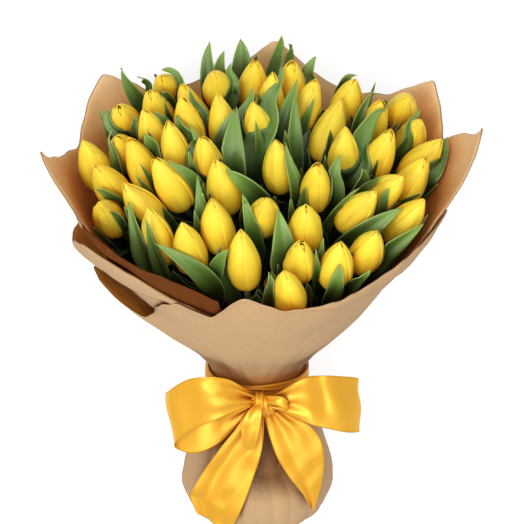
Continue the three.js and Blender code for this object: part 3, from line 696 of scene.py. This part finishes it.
def bloom_axes():
    """Each bloom's base, direction and length, read from its solid."""
    axes = {}
    for name, node in sorted(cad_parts.items()):
        if not name.startswith("bloom_"):
            continue
        flat = np.empty(len(node.data.vertices) * 3)
        node.data.vertices.foreach_get("co", flat)
        points = np.unique(np.round(to_bunch(flat.reshape(-1, 3)), 3), axis=0)
        centre = points.mean(0)
        along = np.linalg.svd(points - centre)[2][0]
        height = (points - centre) @ along
        out = np.linalg.norm(points - centre - height[:, None] * along, axis=1)
        if np.corrcoef(height, out)[0, 1] > 0:
            along, height = -along, -height
        axes[name] = (centre + along * height.min(), along, height.max() - height.min())
    return axes


def tepal(skin, base, axes, turn, outer, length, plump, open_tip, rng):
    """One petal of a bud, as a sheet round the bud's axis from its base to its tip."""
    rows, columns = PETAL_GRID
    s = np.linspace(-1, 1, columns)[None, :]
    v = np.linspace(0, 1, rows)[:, None] ** 0.9
    reach = (1.0 if outer else 0.985) * rng.uniform(0.955, 1.0)
    drop = rng.uniform(0.09, 0.15) if outer else 0.08
    height = v * reach * (1 - drop * np.abs(s) ** 1.3)
    half = np.radians(smooth(OUTER_WIDTHS if outer else INNER_WIDTHS, height / reach))
    radius = smooth(BUD_RADII, height / reach) * plump
    radius = radius + open_tip * step(height, 0.6, 0.97)
    spiral = OUTER_SPIRAL * s if outer else -INNER_SINK
    crease = rng.uniform(0.25, 0.75) * np.exp(-(s / CREASE_WIDE) ** 2)
    ridge = -crease * step(height, 0.05, 0.25) * (1 - 0.6 * step(height, 0.7, 1))
    wave = 0.28 * ripple(int(rng.integers(1 << 30)), 1.3, s, v * 2.2)
    radius = radius * (1 + spiral) + ridge + wave * step(v, 0.1, 0.3) * (1 - step(v, 0.8, 1.0))
    angle = turn + s * half
    right, front, along = axes
    grid = (
        base
        + along * (height * length)[..., None]
        + right * (radius * np.cos(angle))[..., None]
        + front * (radius * np.sin(angle))[..., None]
    )
    uv = pairs_of((s + 1) / 2, height / reach)
    skin.sheet(grid[:, ::-1], PETAL_THICK, uv[:, ::-1])


def add_blooms(blooms):
    """Each bloom as a ring of inner petals and a ring of outer ones."""
    for i, (name, (base, along, length)) in enumerate(blooms.items()):
        rng = np.random.default_rng(BLOOM_SEED + i)
        axes = (*square_to(along), along)
        skin = Skin()
        plump = rng.uniform(0.93, 1.02)
        open_tip = OPEN_TIP if rng.random() < OPEN_SHARE else rng.uniform(0.0, 0.5)
        for petal in range(2 * PETALS_IN_RING):
            outer = petal >= PETALS_IN_RING
            turn = i * BLOOM_TURN - math.radians(RING_TURN * petal + (0 if outer else RING_TURN / 2))
            tepal(skin, base, axes, turn, outer, length, plump, open_tip * (1 if outer else 0.4), rng)
        skin.build("tulip_" + name[-2:], [PETALS[int(rng.integers(len(PETALS)))]], [name])


# Stems and leaves
STEM_SIDES = 8
STEM_ROWS = 22
STEM_TOP_RADIUS = 3.3
LEAF_SEED = 7
LEAF_SHAPE = [
    (0, 0.22), (0.2, 0.62), (0.4, 0.96), (0.5, 1.0), (0.62, 0.92), (0.75, 0.7), (0.86, 0.44),
    (0.94, 0.21), (1, 0),
]
LEAF_BOW = 0.6  # how far a leaf bows out at its low point
LEAF_FAN = 260  # the smaller, the more the leaves face outwards
LEAF_FROM_BLOOM = 2.2  # how far a leaf's middle and its edges keep off the blooms
EDGE_FROM_BLOOM = 1.1
EDGE_PUSH_MOST = 8.0
LEAF_FROM_WRAP = 5
EDGE_FROM_WRAP = 3
DOME_TOP = 192  # the blooms' bases lie on a dome: its height on the axis, its lean and its curve
DOME_LEAN = 0.5
DOME_CURVE = 0.0012
DOME_REACH = 400
HALVINGS = 40
BLOOM_ENDS = (-0.03, 1.03)  # the shares of a bloom's length between which leaves keep off it
OUTLINE_END = 0.88
PUSH_TO_CAMERA = 0.35


def inside_wrap(points, by):
    """Points outside the wrap or under the floor, moved in."""
    points = np.array(points, float)
    out = np.hypot(points[..., 0], points[..., 2])
    most = funnel_radius(points[..., 1]) - by
    scale = np.where(out > most, most / np.maximum(out, 1e-6), 1)
    points[..., 0] *= scale
    points[..., 2] *= scale
    points[..., 2] = np.maximum(points[..., 2], floor_at(points[..., 1]) + by)
    return points


def stem_path(base, along):
    """A stem's cut end, its places in the tie and above it, its bend and its top."""
    out = np.array([base[0], base[2] - BUNDLE_MIDDLE]) / BUNDLE_REACH
    reach = np.linalg.norm(out)
    spread = min(1, reach) / (reach or 1)
    tie = np.array([out[0] * spread * BUNDLE_RADIUS, 0, out[1] * spread * BUNDLE_RADIUS])
    cut = np.array([tie[0] * CUT_SPREAD, STEM_END, tie[2] * CUT_SPREAD])
    top = base - along * CLEAR
    bend = inside_wrap(top - along * NECK_BEND, STEM_RADIUS + 2)
    above = tie + [0, TIE_RISE, 0]
    return np.array([cut, tie, above + (bend - above) * SPREAD_SHARE, bend, top])


def through(points, count):
    """A count of points spread over a smooth curve through a few."""
    points = np.asarray(points, float)
    place = np.arange(len(points))
    at = np.linspace(0, len(points) - 1, count)
    return np.stack([smooth(list(zip(place, points[:, k])), at) for k in range(points.shape[1])], -1)


def add_stems(paths):
    skin = Skin()
    for path in paths:
        radii = np.full(STEM_ROWS, STEM_RADIUS - 0.2)
        radii[-2:] = STEM_TOP_RADIUS
        skin.tube(through(path, STEM_ROWS), radii, STEM_SIDES, 1)
    skin.build("stems", [STEM, STEM_CUT], ["stems_and_leaves"])


def on_dome(x, y, lift):
    """Where a sight line meets the domed face that the blooms' bases lie on."""
    ray = sight(x, y)
    near, far = CAMERA_FAR - DOME_REACH, CAMERA_FAR + DOME_REACH
    for _ in range(HALVINGS):
        middle = (near + far) / 2
        p = CAMERA + ray * middle
        if p[1] > DOME_TOP + lift - DOME_LEAN * p[2] - DOME_CURVE * (p[0] ** 2 + p[2] ** 2):
            near = middle
        else:
            far = middle
    return CAMERA + ray * near


def clear_of_blooms(points, blooms, by, most=40.0):
    """Points that lie in a bloom, moved out of it to its side and towards the camera."""
    points = np.array(points, float)
    for base, along, length in blooms:
        height = (points - base) @ along
        share = height / length
        side = points - base - height[..., None] * along
        out = np.linalg.norm(side, axis=-1)
        want = smooth(BUD_OUTLINE, np.clip(share, 0, OUTLINE_END)) + by - out
        hit = (share > BLOOM_ENDS[0]) & (share < BLOOM_ENDS[1]) & (want > 0) & (want < most)
        toward = unit(unit(side) + TO_CAMERA * PUSH_TO_CAMERA)
        points = points + toward * (want * hit)[..., None]
    return points


def add_leaf(skin, root, low, tip, width, blooms, mark, rng, rows=30, columns=9, painted_tip_light=1.0):
    """One strap leaf from its root over a low point to its tip; painted_tip_light is how light its tip is
    painted, and less keeps it in painted shade.
    """
    t = np.linspace(0, 1, rows)[:, None]
    control = low + (low - (root + tip) / 2) * LEAF_BOW
    centre = (root * (1 - t) + control * t) * (1 - t) + (control * (1 - t) + tip * t) * t
    free = clear_of_blooms(centre, blooms, LEAF_FROM_BLOOM)
    centre = centre + (free - centre) * step(t, 0.2, 0.35)
    for _ in range(3):
        centre[1:-1] = (centre[:-2] + 2 * centre[1:-1] + centre[2:]) / 4
    centre = inside_wrap(centre, LEAF_FROM_WRAP)
    along = unit(np.gradient(centre, axis=0))
    fan = np.stack([centre[:, 0] / LEAF_FAN, np.full(rows, 0.1), centre[:, 2] / LEAF_FAN], -1)
    right = unit(np.cross(along, unit(TO_CAMERA + fan)))
    face = np.cross(right, along)
    s = np.linspace(-1, 1, columns)
    half = width / 2 * smooth(LEAF_SHAPE, t[:, 0])
    twist = rng.uniform(-0.4, 0.4) * t[:, 0]
    side = right * np.cos(twist)[:, None] + face * np.sin(twist)[:, None]
    up = np.cross(side, along)
    dish = rng.uniform(0.28, 0.5) * half[:, None] * np.abs(s)[None, :] ** 1.1
    wave = 0.07 * width * np.sin(t * rng.uniform(5, 10) + rng.uniform(0, 6)) * s[None, :] ** 3
    blade = centre[:, None] + side[:, None] * (half[:, None] * s)[..., None]
    grid = blade + up[:, None] * (dish + wave)[..., None]
    for _ in range(2):
        grid = clear_of_blooms(grid, blooms, EDGE_FROM_BLOOM, EDGE_PUSH_MOST)
    grid = inside_wrap(grid, EDGE_FROM_WRAP)
    skin.sheet(grid, LEAF_THICK, pairs_of((s + 1) / 2, t * painted_tip_light), (mark, mark))


def stem_place(path, share):
    """A place on a stem between its point above the tie and its bend."""
    return path[2] + (path[3] - path[2]) * share


def add_leaves(paths, blooms):
    """The leaves in the picture, narrow ones round each bloom, and low ones in the gaps, kept dark as
    painted shade.
    """
    rng = np.random.default_rng(LEAF_SEED)
    upper = np.array([stem_place(path, LEAF_ROOT_SHARE) for path in paths])
    skin = Skin()
    for tip_x, tip_y, low_x, low_y, width in LEAVES_SEEN:
        tip = on_dome(tip_x, tip_y, TIP_LIFT)
        low = on_dome(low_x, low_y, LOW_LIFT)
        root = upper[np.argmin(np.linalg.norm(upper - low, axis=1))]
        add_leaf(skin, root, low, tip, width, blooms, int(rng.integers(3)), rng)
    for path, (base, along, length) in zip(paths, blooms):
        for turn in rng.uniform(0, 2 * math.pi, 2):
            side = beside(along, turn)
            low = base + side * rng.uniform(14, 18) + along * rng.uniform(-6, 6)
            tip = base + side * rng.uniform(15, 24) + along * length * rng.uniform(0.35, 0.95)
            root = stem_place(path, rng.uniform(0.5, 0.9))
            add_leaf(skin, root, low, tip, rng.uniform(9, 15), blooms, int(rng.integers(3)), rng)
    skin.build("leaves", LEAVES, ["stems_and_leaves"])
    # Low leaves kept dark with painted shade, filling the gaps between the blooms with shade.
    low_skin = Skin()
    for path, (base, along, _) in zip(paths, blooms):
        for turn in rng.uniform(0, 2 * math.pi, 4):
            side = beside(along, turn)
            low = base + side * rng.uniform(8, 16) - along * rng.uniform(20, 30)
            tip = base + side * rng.uniform(12, 22) + along * rng.uniform(-8, 14)
            root = stem_place(path, rng.uniform(0.3, 0.7))
            add_leaf(low_skin, root, low, tip, rng.uniform(16, 26), blooms, 0, rng, 14, 5, 0.38)
    low_skin.build("low_leaves_painted_shade", LEAVES, ["stems_and_leaves"])


# Paper: each sheet's turned lip is given as angles from the front with the lip's depth there
LIP_ROWS = 14
LIP_SHADE_DEPTH = 5  # the back sheet's lip takes a darker material, painted shade, where it is deeper than this
LIP_FULL = 7  # a lip this deep stands off fully
PAPER_OUT = 0.6  # how far out in the solids' sheet the thin one lies
NECK_PINCH = 3.5  # how far the ribbon draws the paper in above it
PLEATS = 11
PLEAT_AT_NECK = 1.6
PLEAT_IN_SKIRT = 1.3
FOLD_AT = 14  # the hollow between the tails: its angle, its half width and its depth
FOLD_WIDE = 19
FOLD_DEEP = 26
LIP_SEED = 12
SHEETS = {
    "paper_back": dict(
        edge=BACK_EDGE, columns=300, rows=100, curl=1.0,
        lip=[(-330, 1), (-110, 1), (-88, 1.5), (-78, 3), (-68, 4), (-56, 6), (-50, 10), (-44, 20),
             (-36, 30), (-25, 34), (-13, 32)]),
    "paper_side": dict(
        edge=SIDE_EDGE, columns=110, rows=80, curl=0.0,
        lip=[(-110, 1), (-88, 1), (-78, 2), (-71, 18), (-62, 32), (-50, 30), (-40, 22), (-32, 8),
             (-25, 3), (10, 0)]),
    "paper_front": dict(
        edge=FRONT_EDGE, columns=160, rows=90, curl=1.0,
        lip=[(-80, 1), (17, 1.5), (25, 6), (32, 11), (39, 16), (52, 19), (65, 19), (78, 14),
             (86, 6), (96, 1)]),
}


def sheet_angles(edge, columns):
    return np.linspace(edge[0][0], edge[-1][0], columns)


def sheet_radius(angle, y, top, lean, outside, curl):
    """How far out a sheet of the wrap lies at an angle and height."""
    turn = np.radians(angle)
    under = y - top
    radius = funnel_radius(y) + outside * SHEET_STEP + PAPER_OUT
    radius = radius + RIPPLE * step(y, 20, 200) * (1 + np.sin(turn * 6))
    radius = radius + lean * step(under, -LEAN_FROM, 0) + curl * step(under, -9, 0) ** 2
    radius = radius - NECK_PINCH * step(y, 8, 20) * (1 - step(y, 38, 70))
    pleat = np.abs(np.sin(turn * PLEATS + 1.3 * np.sin(turn * 3))) ** 0.7 - 0.5
    radius = radius + PLEAT_AT_NECK * pleat * step(y, 14, 26) * (1 - step(y, 40, 95))
    radius = radius + PLEAT_IN_SKIRT * pleat * (1 - step(y, -70, -14))
    from_front = (angle + 180) % 360 - 180
    fold = np.exp(-(((from_front - FOLD_AT) / FOLD_WIDE) ** 4))
    fold = fold * step(-y, 12, 34) * (1 - step(-y, 76, 104))
    sag = ripple(3, 70, angle * 2.4, y) * 1.1 + ripple(5, 26, angle * 2.4, y) * 0.35
    stems = BUNDLE_RADIUS * (1 + (CUT_SPREAD - 1) * np.clip(y / STEM_END, 0, 1)) + STEM_RADIUS
    hollow = np.maximum(radius - FOLD_DEEP * fold, stems + 2 + 1.2 * outside)
    return np.where(y < -10, np.minimum(radius, hollow), radius) + sag * step(y, 12, 60)


def paper_lip(angles, top, lean, deep, outside, curl, rim):
    """Heights and radii of a lip's rows, from the sheet's rim on.

    The outer sheets' lips are cuffs that stand off the sheet. The back one's hangs outwards, and
    where it is deep it lies close to the sheet in small folds.
    """
    share = np.linspace(0, 1, LIP_ROWS + 1)[1:, None]
    full = np.minimum(1, deep / LIP_FULL)
    if outside:
        y = top + deep * (0.16 * np.sin(math.pi * share) - share)
        gap = 3.4 * full * (1 - (1 - share) ** 3)
        return y, sheet_radius(angles, y, top, lean, outside, curl) + gap
    y = top + deep * (0.3 * np.sin(math.pi * 0.9 * share) - 0.9 * share ** 1.6)
    hanging = rim + 1.6 * full * share ** 0.5
    close = sheet_radius(angles, y, top, lean, outside, curl) + 1.1
    tucked = step(deep, 8, 20)
    folds = 1.8 * (0.5 - 0.5 * np.cos(8.4 * math.pi * share)) * (1 - step(share, 0.36, 0.5))
    return y, np.maximum(hanging, close) * (1 - tucked) + (close + folds) * tucked


def paper_grid(edge, lip, columns, rows, curl, outside):
    """A grid of points up one sheet of the wrap and over its lip, and its texture places."""
    angles = sheet_angles(edge, columns)
    keys, heights, leans = zip(*((*key, 0)[:3] for key in edge))
    top = np.interp(angles, keys, heights)
    top = np.convolve(np.pad(top, 1, mode="edge"), np.ones(3) / 3, mode="valid")
    top = top + 0.7 * ripple(LIP_SEED + outside, 9, angles)
    lean = smooth(list(zip(keys, leans)), angles)
    y = PAPER_END + (top - PAPER_END) * np.linspace(0, 1, rows)[:, None]
    radius = sheet_radius(angles, y, top, lean, outside, curl)
    deep = np.maximum(np.interp(angles, *zip(*lip)), 0.5)
    lip_y, lip_radius = paper_lip(angles, top, lean, deep, outside, curl, radius[-1])
    y = np.vstack([y, lip_y])
    radius = np.vstack([radius, lip_radius])
    turn = np.radians(angles)
    grid = round_axis(turn, radius, y)
    grid[..., 2] = np.maximum(grid[..., 2], floor_at(y) + PAPER_THICK * 1.1)
    steps = np.linalg.norm(np.diff(grid[:, columns // 2], axis=0), axis=1)
    run = np.concatenate([[0], np.cumsum(steps)])[:, None]
    return grid, pairs_of(turn * 1.5, run / 100)


def add_paper():
    for outside, (name, facts) in enumerate(SHEETS.items()):
        grid, uv = paper_grid(**facts, outside=outside)
        skin = Skin()
        inner = np.ones((grid.shape[0] - 1, grid.shape[1] - 1), int)
        angles = sheet_angles(facts["edge"], facts["columns"])[1:]
        # The back sheet's deep lip takes the dark material, painted shade.
        wide = np.interp(angles, *zip(*facts["lip"])) > LIP_SHADE_DEPTH
        inner[-LIP_ROWS:] = np.where(wide & (name == "paper_back"), 2, 0)
        skin.sheet(grid, PAPER_THICK, uv, (0, inner.ravel()))
        skin.build(name.replace("paper", "kraft"),
                   [PAPER_OUTSIDE, PAPER_INSIDE if name == "paper_back" else PAPER_HOLLOW_PAINTED_LIGHT, PAPER_LIP_PAINTED_SHADE],
                   [name])


# Ribbon
BAND_RADIUS = NECK_RADIUS + 2 * SHEET_STEP + SOLID_PAPER + CLEAR
RIBBON_WIDTH = 50
TEXTURE_LENGTH = 50  # of ribbon to one length of its texture
STRIP_COLUMNS = 33
KNOT_SEEN = (263, 404)
KNOT_Z = BAND_RADIUS + 14
KNOT_HALF = (11.5, 12, 9.5)
KNOT_LEAN = 0.45
BAND_LOW = -8  # the band's edges, and how far its upper one rises at the front
BAND_HIGH = 10
BAND_RISE = 6.5
BAND_FOLDS = 14
BAND_FOLD_DEPTH = 1.5

# Each run of ribbon as it shows: picture x, picture y and height over the tie of one edge at a station,
# and then those of the other edge
LEFT_LOOP = [
    (258, 396, 60, 259, 404, 60), (244, 388, 67, 249, 407, 69), (230, 380, 72, 237, 411, 75),
    (212, 377, 75, 220, 418, 79), (193, 379, 74, 200, 427, 79), (177, 385, 69, 184, 435, 75),
    (168, 392, 60, 176, 444, 67), (170, 394, 52, 181, 451, 60), (186, 393, 49, 200, 452, 56),
    (206, 393, 49, 222, 442, 55), (228, 396, 50, 240, 424, 55), (250, 400, 53, 254, 410, 56),
]
RIGHT_LOOP = [
    (266, 397, 60, 266, 405, 60), (277, 393, 66, 280, 410, 68), (290, 385, 69, 296, 418, 73),
    (306, 377, 71, 312, 424, 76), (324, 375, 76, 328, 430, 82), (343, 377, 72, 346, 433, 79),
    (358, 378, 60, 358, 432, 67), (355, 380, 51, 353, 429, 58), (336, 382, 48, 334, 423, 54),
    (312, 386, 48, 312, 416, 53), (288, 393, 50, 288, 407, 53), (270, 398, 53, 270, 404, 54),
]
LEFT_TAIL = [
    (257, 403, 54, 264, 405, 54), (246, 414, 58, 264, 424, 59), (234, 431, 62, 263, 442, 63),
    (219, 450, 66, 259, 461, 67), (204, 471, 69, 251, 485, 70), (192, 490, 71, 243, 506, 72),
    (190, 497, 71, 236, 521, 72), (197, 514, 71, 229, 533, 71),
]
RIGHT_TAIL = [
    (262, 404, 54, 270, 404, 54), (265, 419, 58, 291, 416, 57), (270, 438, 63, 310, 426, 59),
    (277, 457, 68, 321, 440, 60), (287, 474, 70, 324, 457, 62), (297, 487, 70, 323, 475, 64),
    (304, 496, 70, 320, 490, 65), (312, 510, 68, 313, 511, 68),
]
DRAPE = [
    (257, 402, 66, 264, 403, 66), (247, 413, 72, 262, 412, 74), (241.5, 427, 76, 260, 428, 79),
    (242.5, 441, 77, 257, 441, 80), (246, 449, 75, 253.5, 449, 76), (245, 441, 71, 255, 441, 72),
    (248, 426, 69, 259, 426, 70), (257, 408, 66, 263, 408, 66),
]
CURL = [
    (266, 396, 66, 266, 404, 67), (273, 396, 72, 274, 405, 74), (282, 397, 75, 283, 408, 76),
    (288, 402, 73, 288, 410, 74), (284, 405, 69, 283, 411, 70), (274, 402, 66, 273, 408, 66),
    (267, 399, 64, 267, 405, 64),
]


def wrap_outside(y, by):
    """How far from the axis something clears all sheets of the wrap."""
    least = np.maximum(NECK_RADIUS, funnel_radius(y)) + 2 * SHEET_STEP + SOLID_PAPER + by
    return least + 2 * RIPPLE * step(y, 20, 200) + PLEAT_IN_SKIRT * (1 - step(y, -70, -14))


def outside_wrap(points, by):
    """Points that lie in the front of the wrap, moved out of it towards the camera."""
    points = np.array(points, float)
    for _ in range(10):
        least = wrap_outside(points[..., 1], by)
        short = np.maximum(least - np.hypot(points[..., 0], points[..., 2]), 0)
        points = points + unit(CAMERA - points) * short[..., None]
    return points


def add_strip(skin, stations, lift, rows, seed, pleats, depth, swell, ridge=0.0, loose=False):
    """A run of ribbon between two edges, with folds of some depth where it is gathered.

    It keeps off the paper by lift, waves by swell where it is wide, and has a ridge along it. A loose
    run has no folds in its far part.
    """
    one = through([seen_at(*station[:3]) for station in stations], rows)
    other = through([seen_at(*station[3:]) for station in stations], rows)
    s = np.linspace(0, 1, STRIP_COLUMNS)
    grid = one[:, None] * (1 - s)[:, None] + other[:, None] * s[:, None]
    face = unit(np.cross(other - one, np.gradient((one + other) / 2, axis=0)))
    gather = np.clip(1 - np.linalg.norm(other - one, axis=1) / RIBBON_WIDTH, 0, 1)[:, None]
    wander = 0.8 * np.sin(np.linspace(0, 3, rows) + seed)[:, None]
    fold = depth * gather ** 0.7 * np.sin((s - 0.5) * 2 * math.pi * pleats + wander + seed)
    fold = fold * np.sin(s * math.pi) ** 0.5
    run = np.linspace(0, 1, rows)[:, None]
    if loose:
        fold = fold * (1 - step(run, 0.3, 0.6))
    soft = swell * ripple(seed, 1.1, s[None, :] * 1.1, run * 4.2) * (1 - gather)
    soft = soft + ridge * np.exp(-((s - 0.3) / 0.16) ** 2) * step(run, 0.1, 0.4)
    grid = outside_wrap(grid + face[:, None] * (fold + soft)[..., None], lift)
    length = np.linalg.norm(np.diff((one + other) / 2, axis=0), axis=1).sum()
    skin.sheet(grid, SATIN_THICK, pairs_of(s, run * length / TEXTURE_LENGTH))


def add_ribbon():
    skin = Skin()
    tail = dict(rows=80, pleats=2.0, depth=3.0, loose=True)
    loop = dict(lift=4.5, rows=110, pleats=2.5, swell=3.4)
    add_strip(skin, LEFT_TAIL, lift=1.5, seed=3, swell=0.8, ridge=3.5, **tail)
    add_strip(skin, RIGHT_TAIL, lift=1.0, seed=4, swell=0.7, ridge=2.0, **tail)
    add_strip(skin, LEFT_LOOP, seed=1, depth=3.2, **loop)
    add_strip(skin, RIGHT_LOOP, seed=2, depth=3.0, **loop)
    add_strip(skin, DRAPE, lift=9, rows=60, seed=5, pleats=0.8, depth=1.2, swell=0.6)
    add_strip(skin, CURL, lift=9, rows=50, seed=6, pleats=0.8, depth=0.8, swell=0.3)
    add_band(skin)
    add_knot(skin)
    bow = skin.build("satin_bow", [SATIN], ["ribbon"])


def add_band(skin):
    """The ribbon's turn round the neck, gathered in folds that run along it."""
    turn = np.linspace(-math.pi, math.pi, 181)
    v = np.linspace(-1, 1, 57)[:, None]
    front = 0.5 + 0.5 * np.cos(turn)
    wander = 1.6 * np.sin(turn * 2 + 0.5) + 0.8 * np.sin(turn * 5)
    folds = BAND_FOLD_DEPTH * (1 + np.sin(v * BAND_FOLDS + wander))
    low = BAND_LOW - np.sin(turn)
    high = BAND_HIGH + BAND_RISE * front ** 1.5 + 1.5 * np.sin(turn * 2 + 1)
    y = low + (high - low) * (v + 1) / 2
    radius = np.maximum(BAND_RADIUS, wrap_outside(y, 0.6)) + folds + 0.8 * (1 - v ** 2)
    skin.sheet(round_axis(turn, radius, y), SATIN_THICK, pairs_of((v + 1) / 2, turn * 1.05))


def add_knot(skin):
    """The knot, pinched at both ends and pleated, with its right end lower."""
    middle = seen_at(*KNOT_SEEN, KNOT_Z)
    turn = np.linspace(0, 2 * math.pi, 61)[None, :]
    v = np.linspace(-1, 1, 25)[:, None]
    pinch = np.cos(v * math.pi / 2 * 0.78)
    pleat = 1 + 0.1 * np.cos(v * 15 + 1.8 * np.sin(turn + 0.6))
    x = v * KNOT_HALF[0] + 0 * turn
    y = KNOT_HALF[1] * pinch * pleat * np.sin(turn) - KNOT_LEAN * x
    z = KNOT_HALF[2] * pinch * pleat * np.cos(turn)
    grid = np.stack([x, y, z], -1) + middle
    uv = pairs_of((v + 1) / 2, turn / 3)
    skin.sheet(grid[:, ::-1], SATIN_THICK, uv[:, ::-1])


# Twine
TWINE_TURNS = 5
TWINE_WIDE = 7  # along the stems
TWINE_RADIUS = 1.4


def add_twine():
    """Turns of twine round the stems, under the paper."""
    skin = Skin()
    angle = np.linspace(0, 2 * math.pi * TWINE_TURNS, 48 * TWINE_TURNS)
    thick = (NECK_RADIUS - BUNDLE_RADIUS - STEM_RADIUS) / 2 - CLEAR
    middle = BUNDLE_RADIUS + STEM_RADIUS + CLEAR + thick
    path = round_axis(angle, middle, (angle / angle[-1] - 0.5) * TWINE_WIDE)
    skin.tube(path, np.full(len(path), TWINE_RADIUS), 8)
    skin.build("twine_turns", [TWINE], ["stem_tie"])


axes = bloom_axes()
blooms = list(axes.values())
paths = [stem_path(base, along) for base, along, _ in blooms]
add_blooms(axes)
add_stems(paths)
add_leaves(paths, blooms)
add_paper()
add_ribbon()
add_twine()
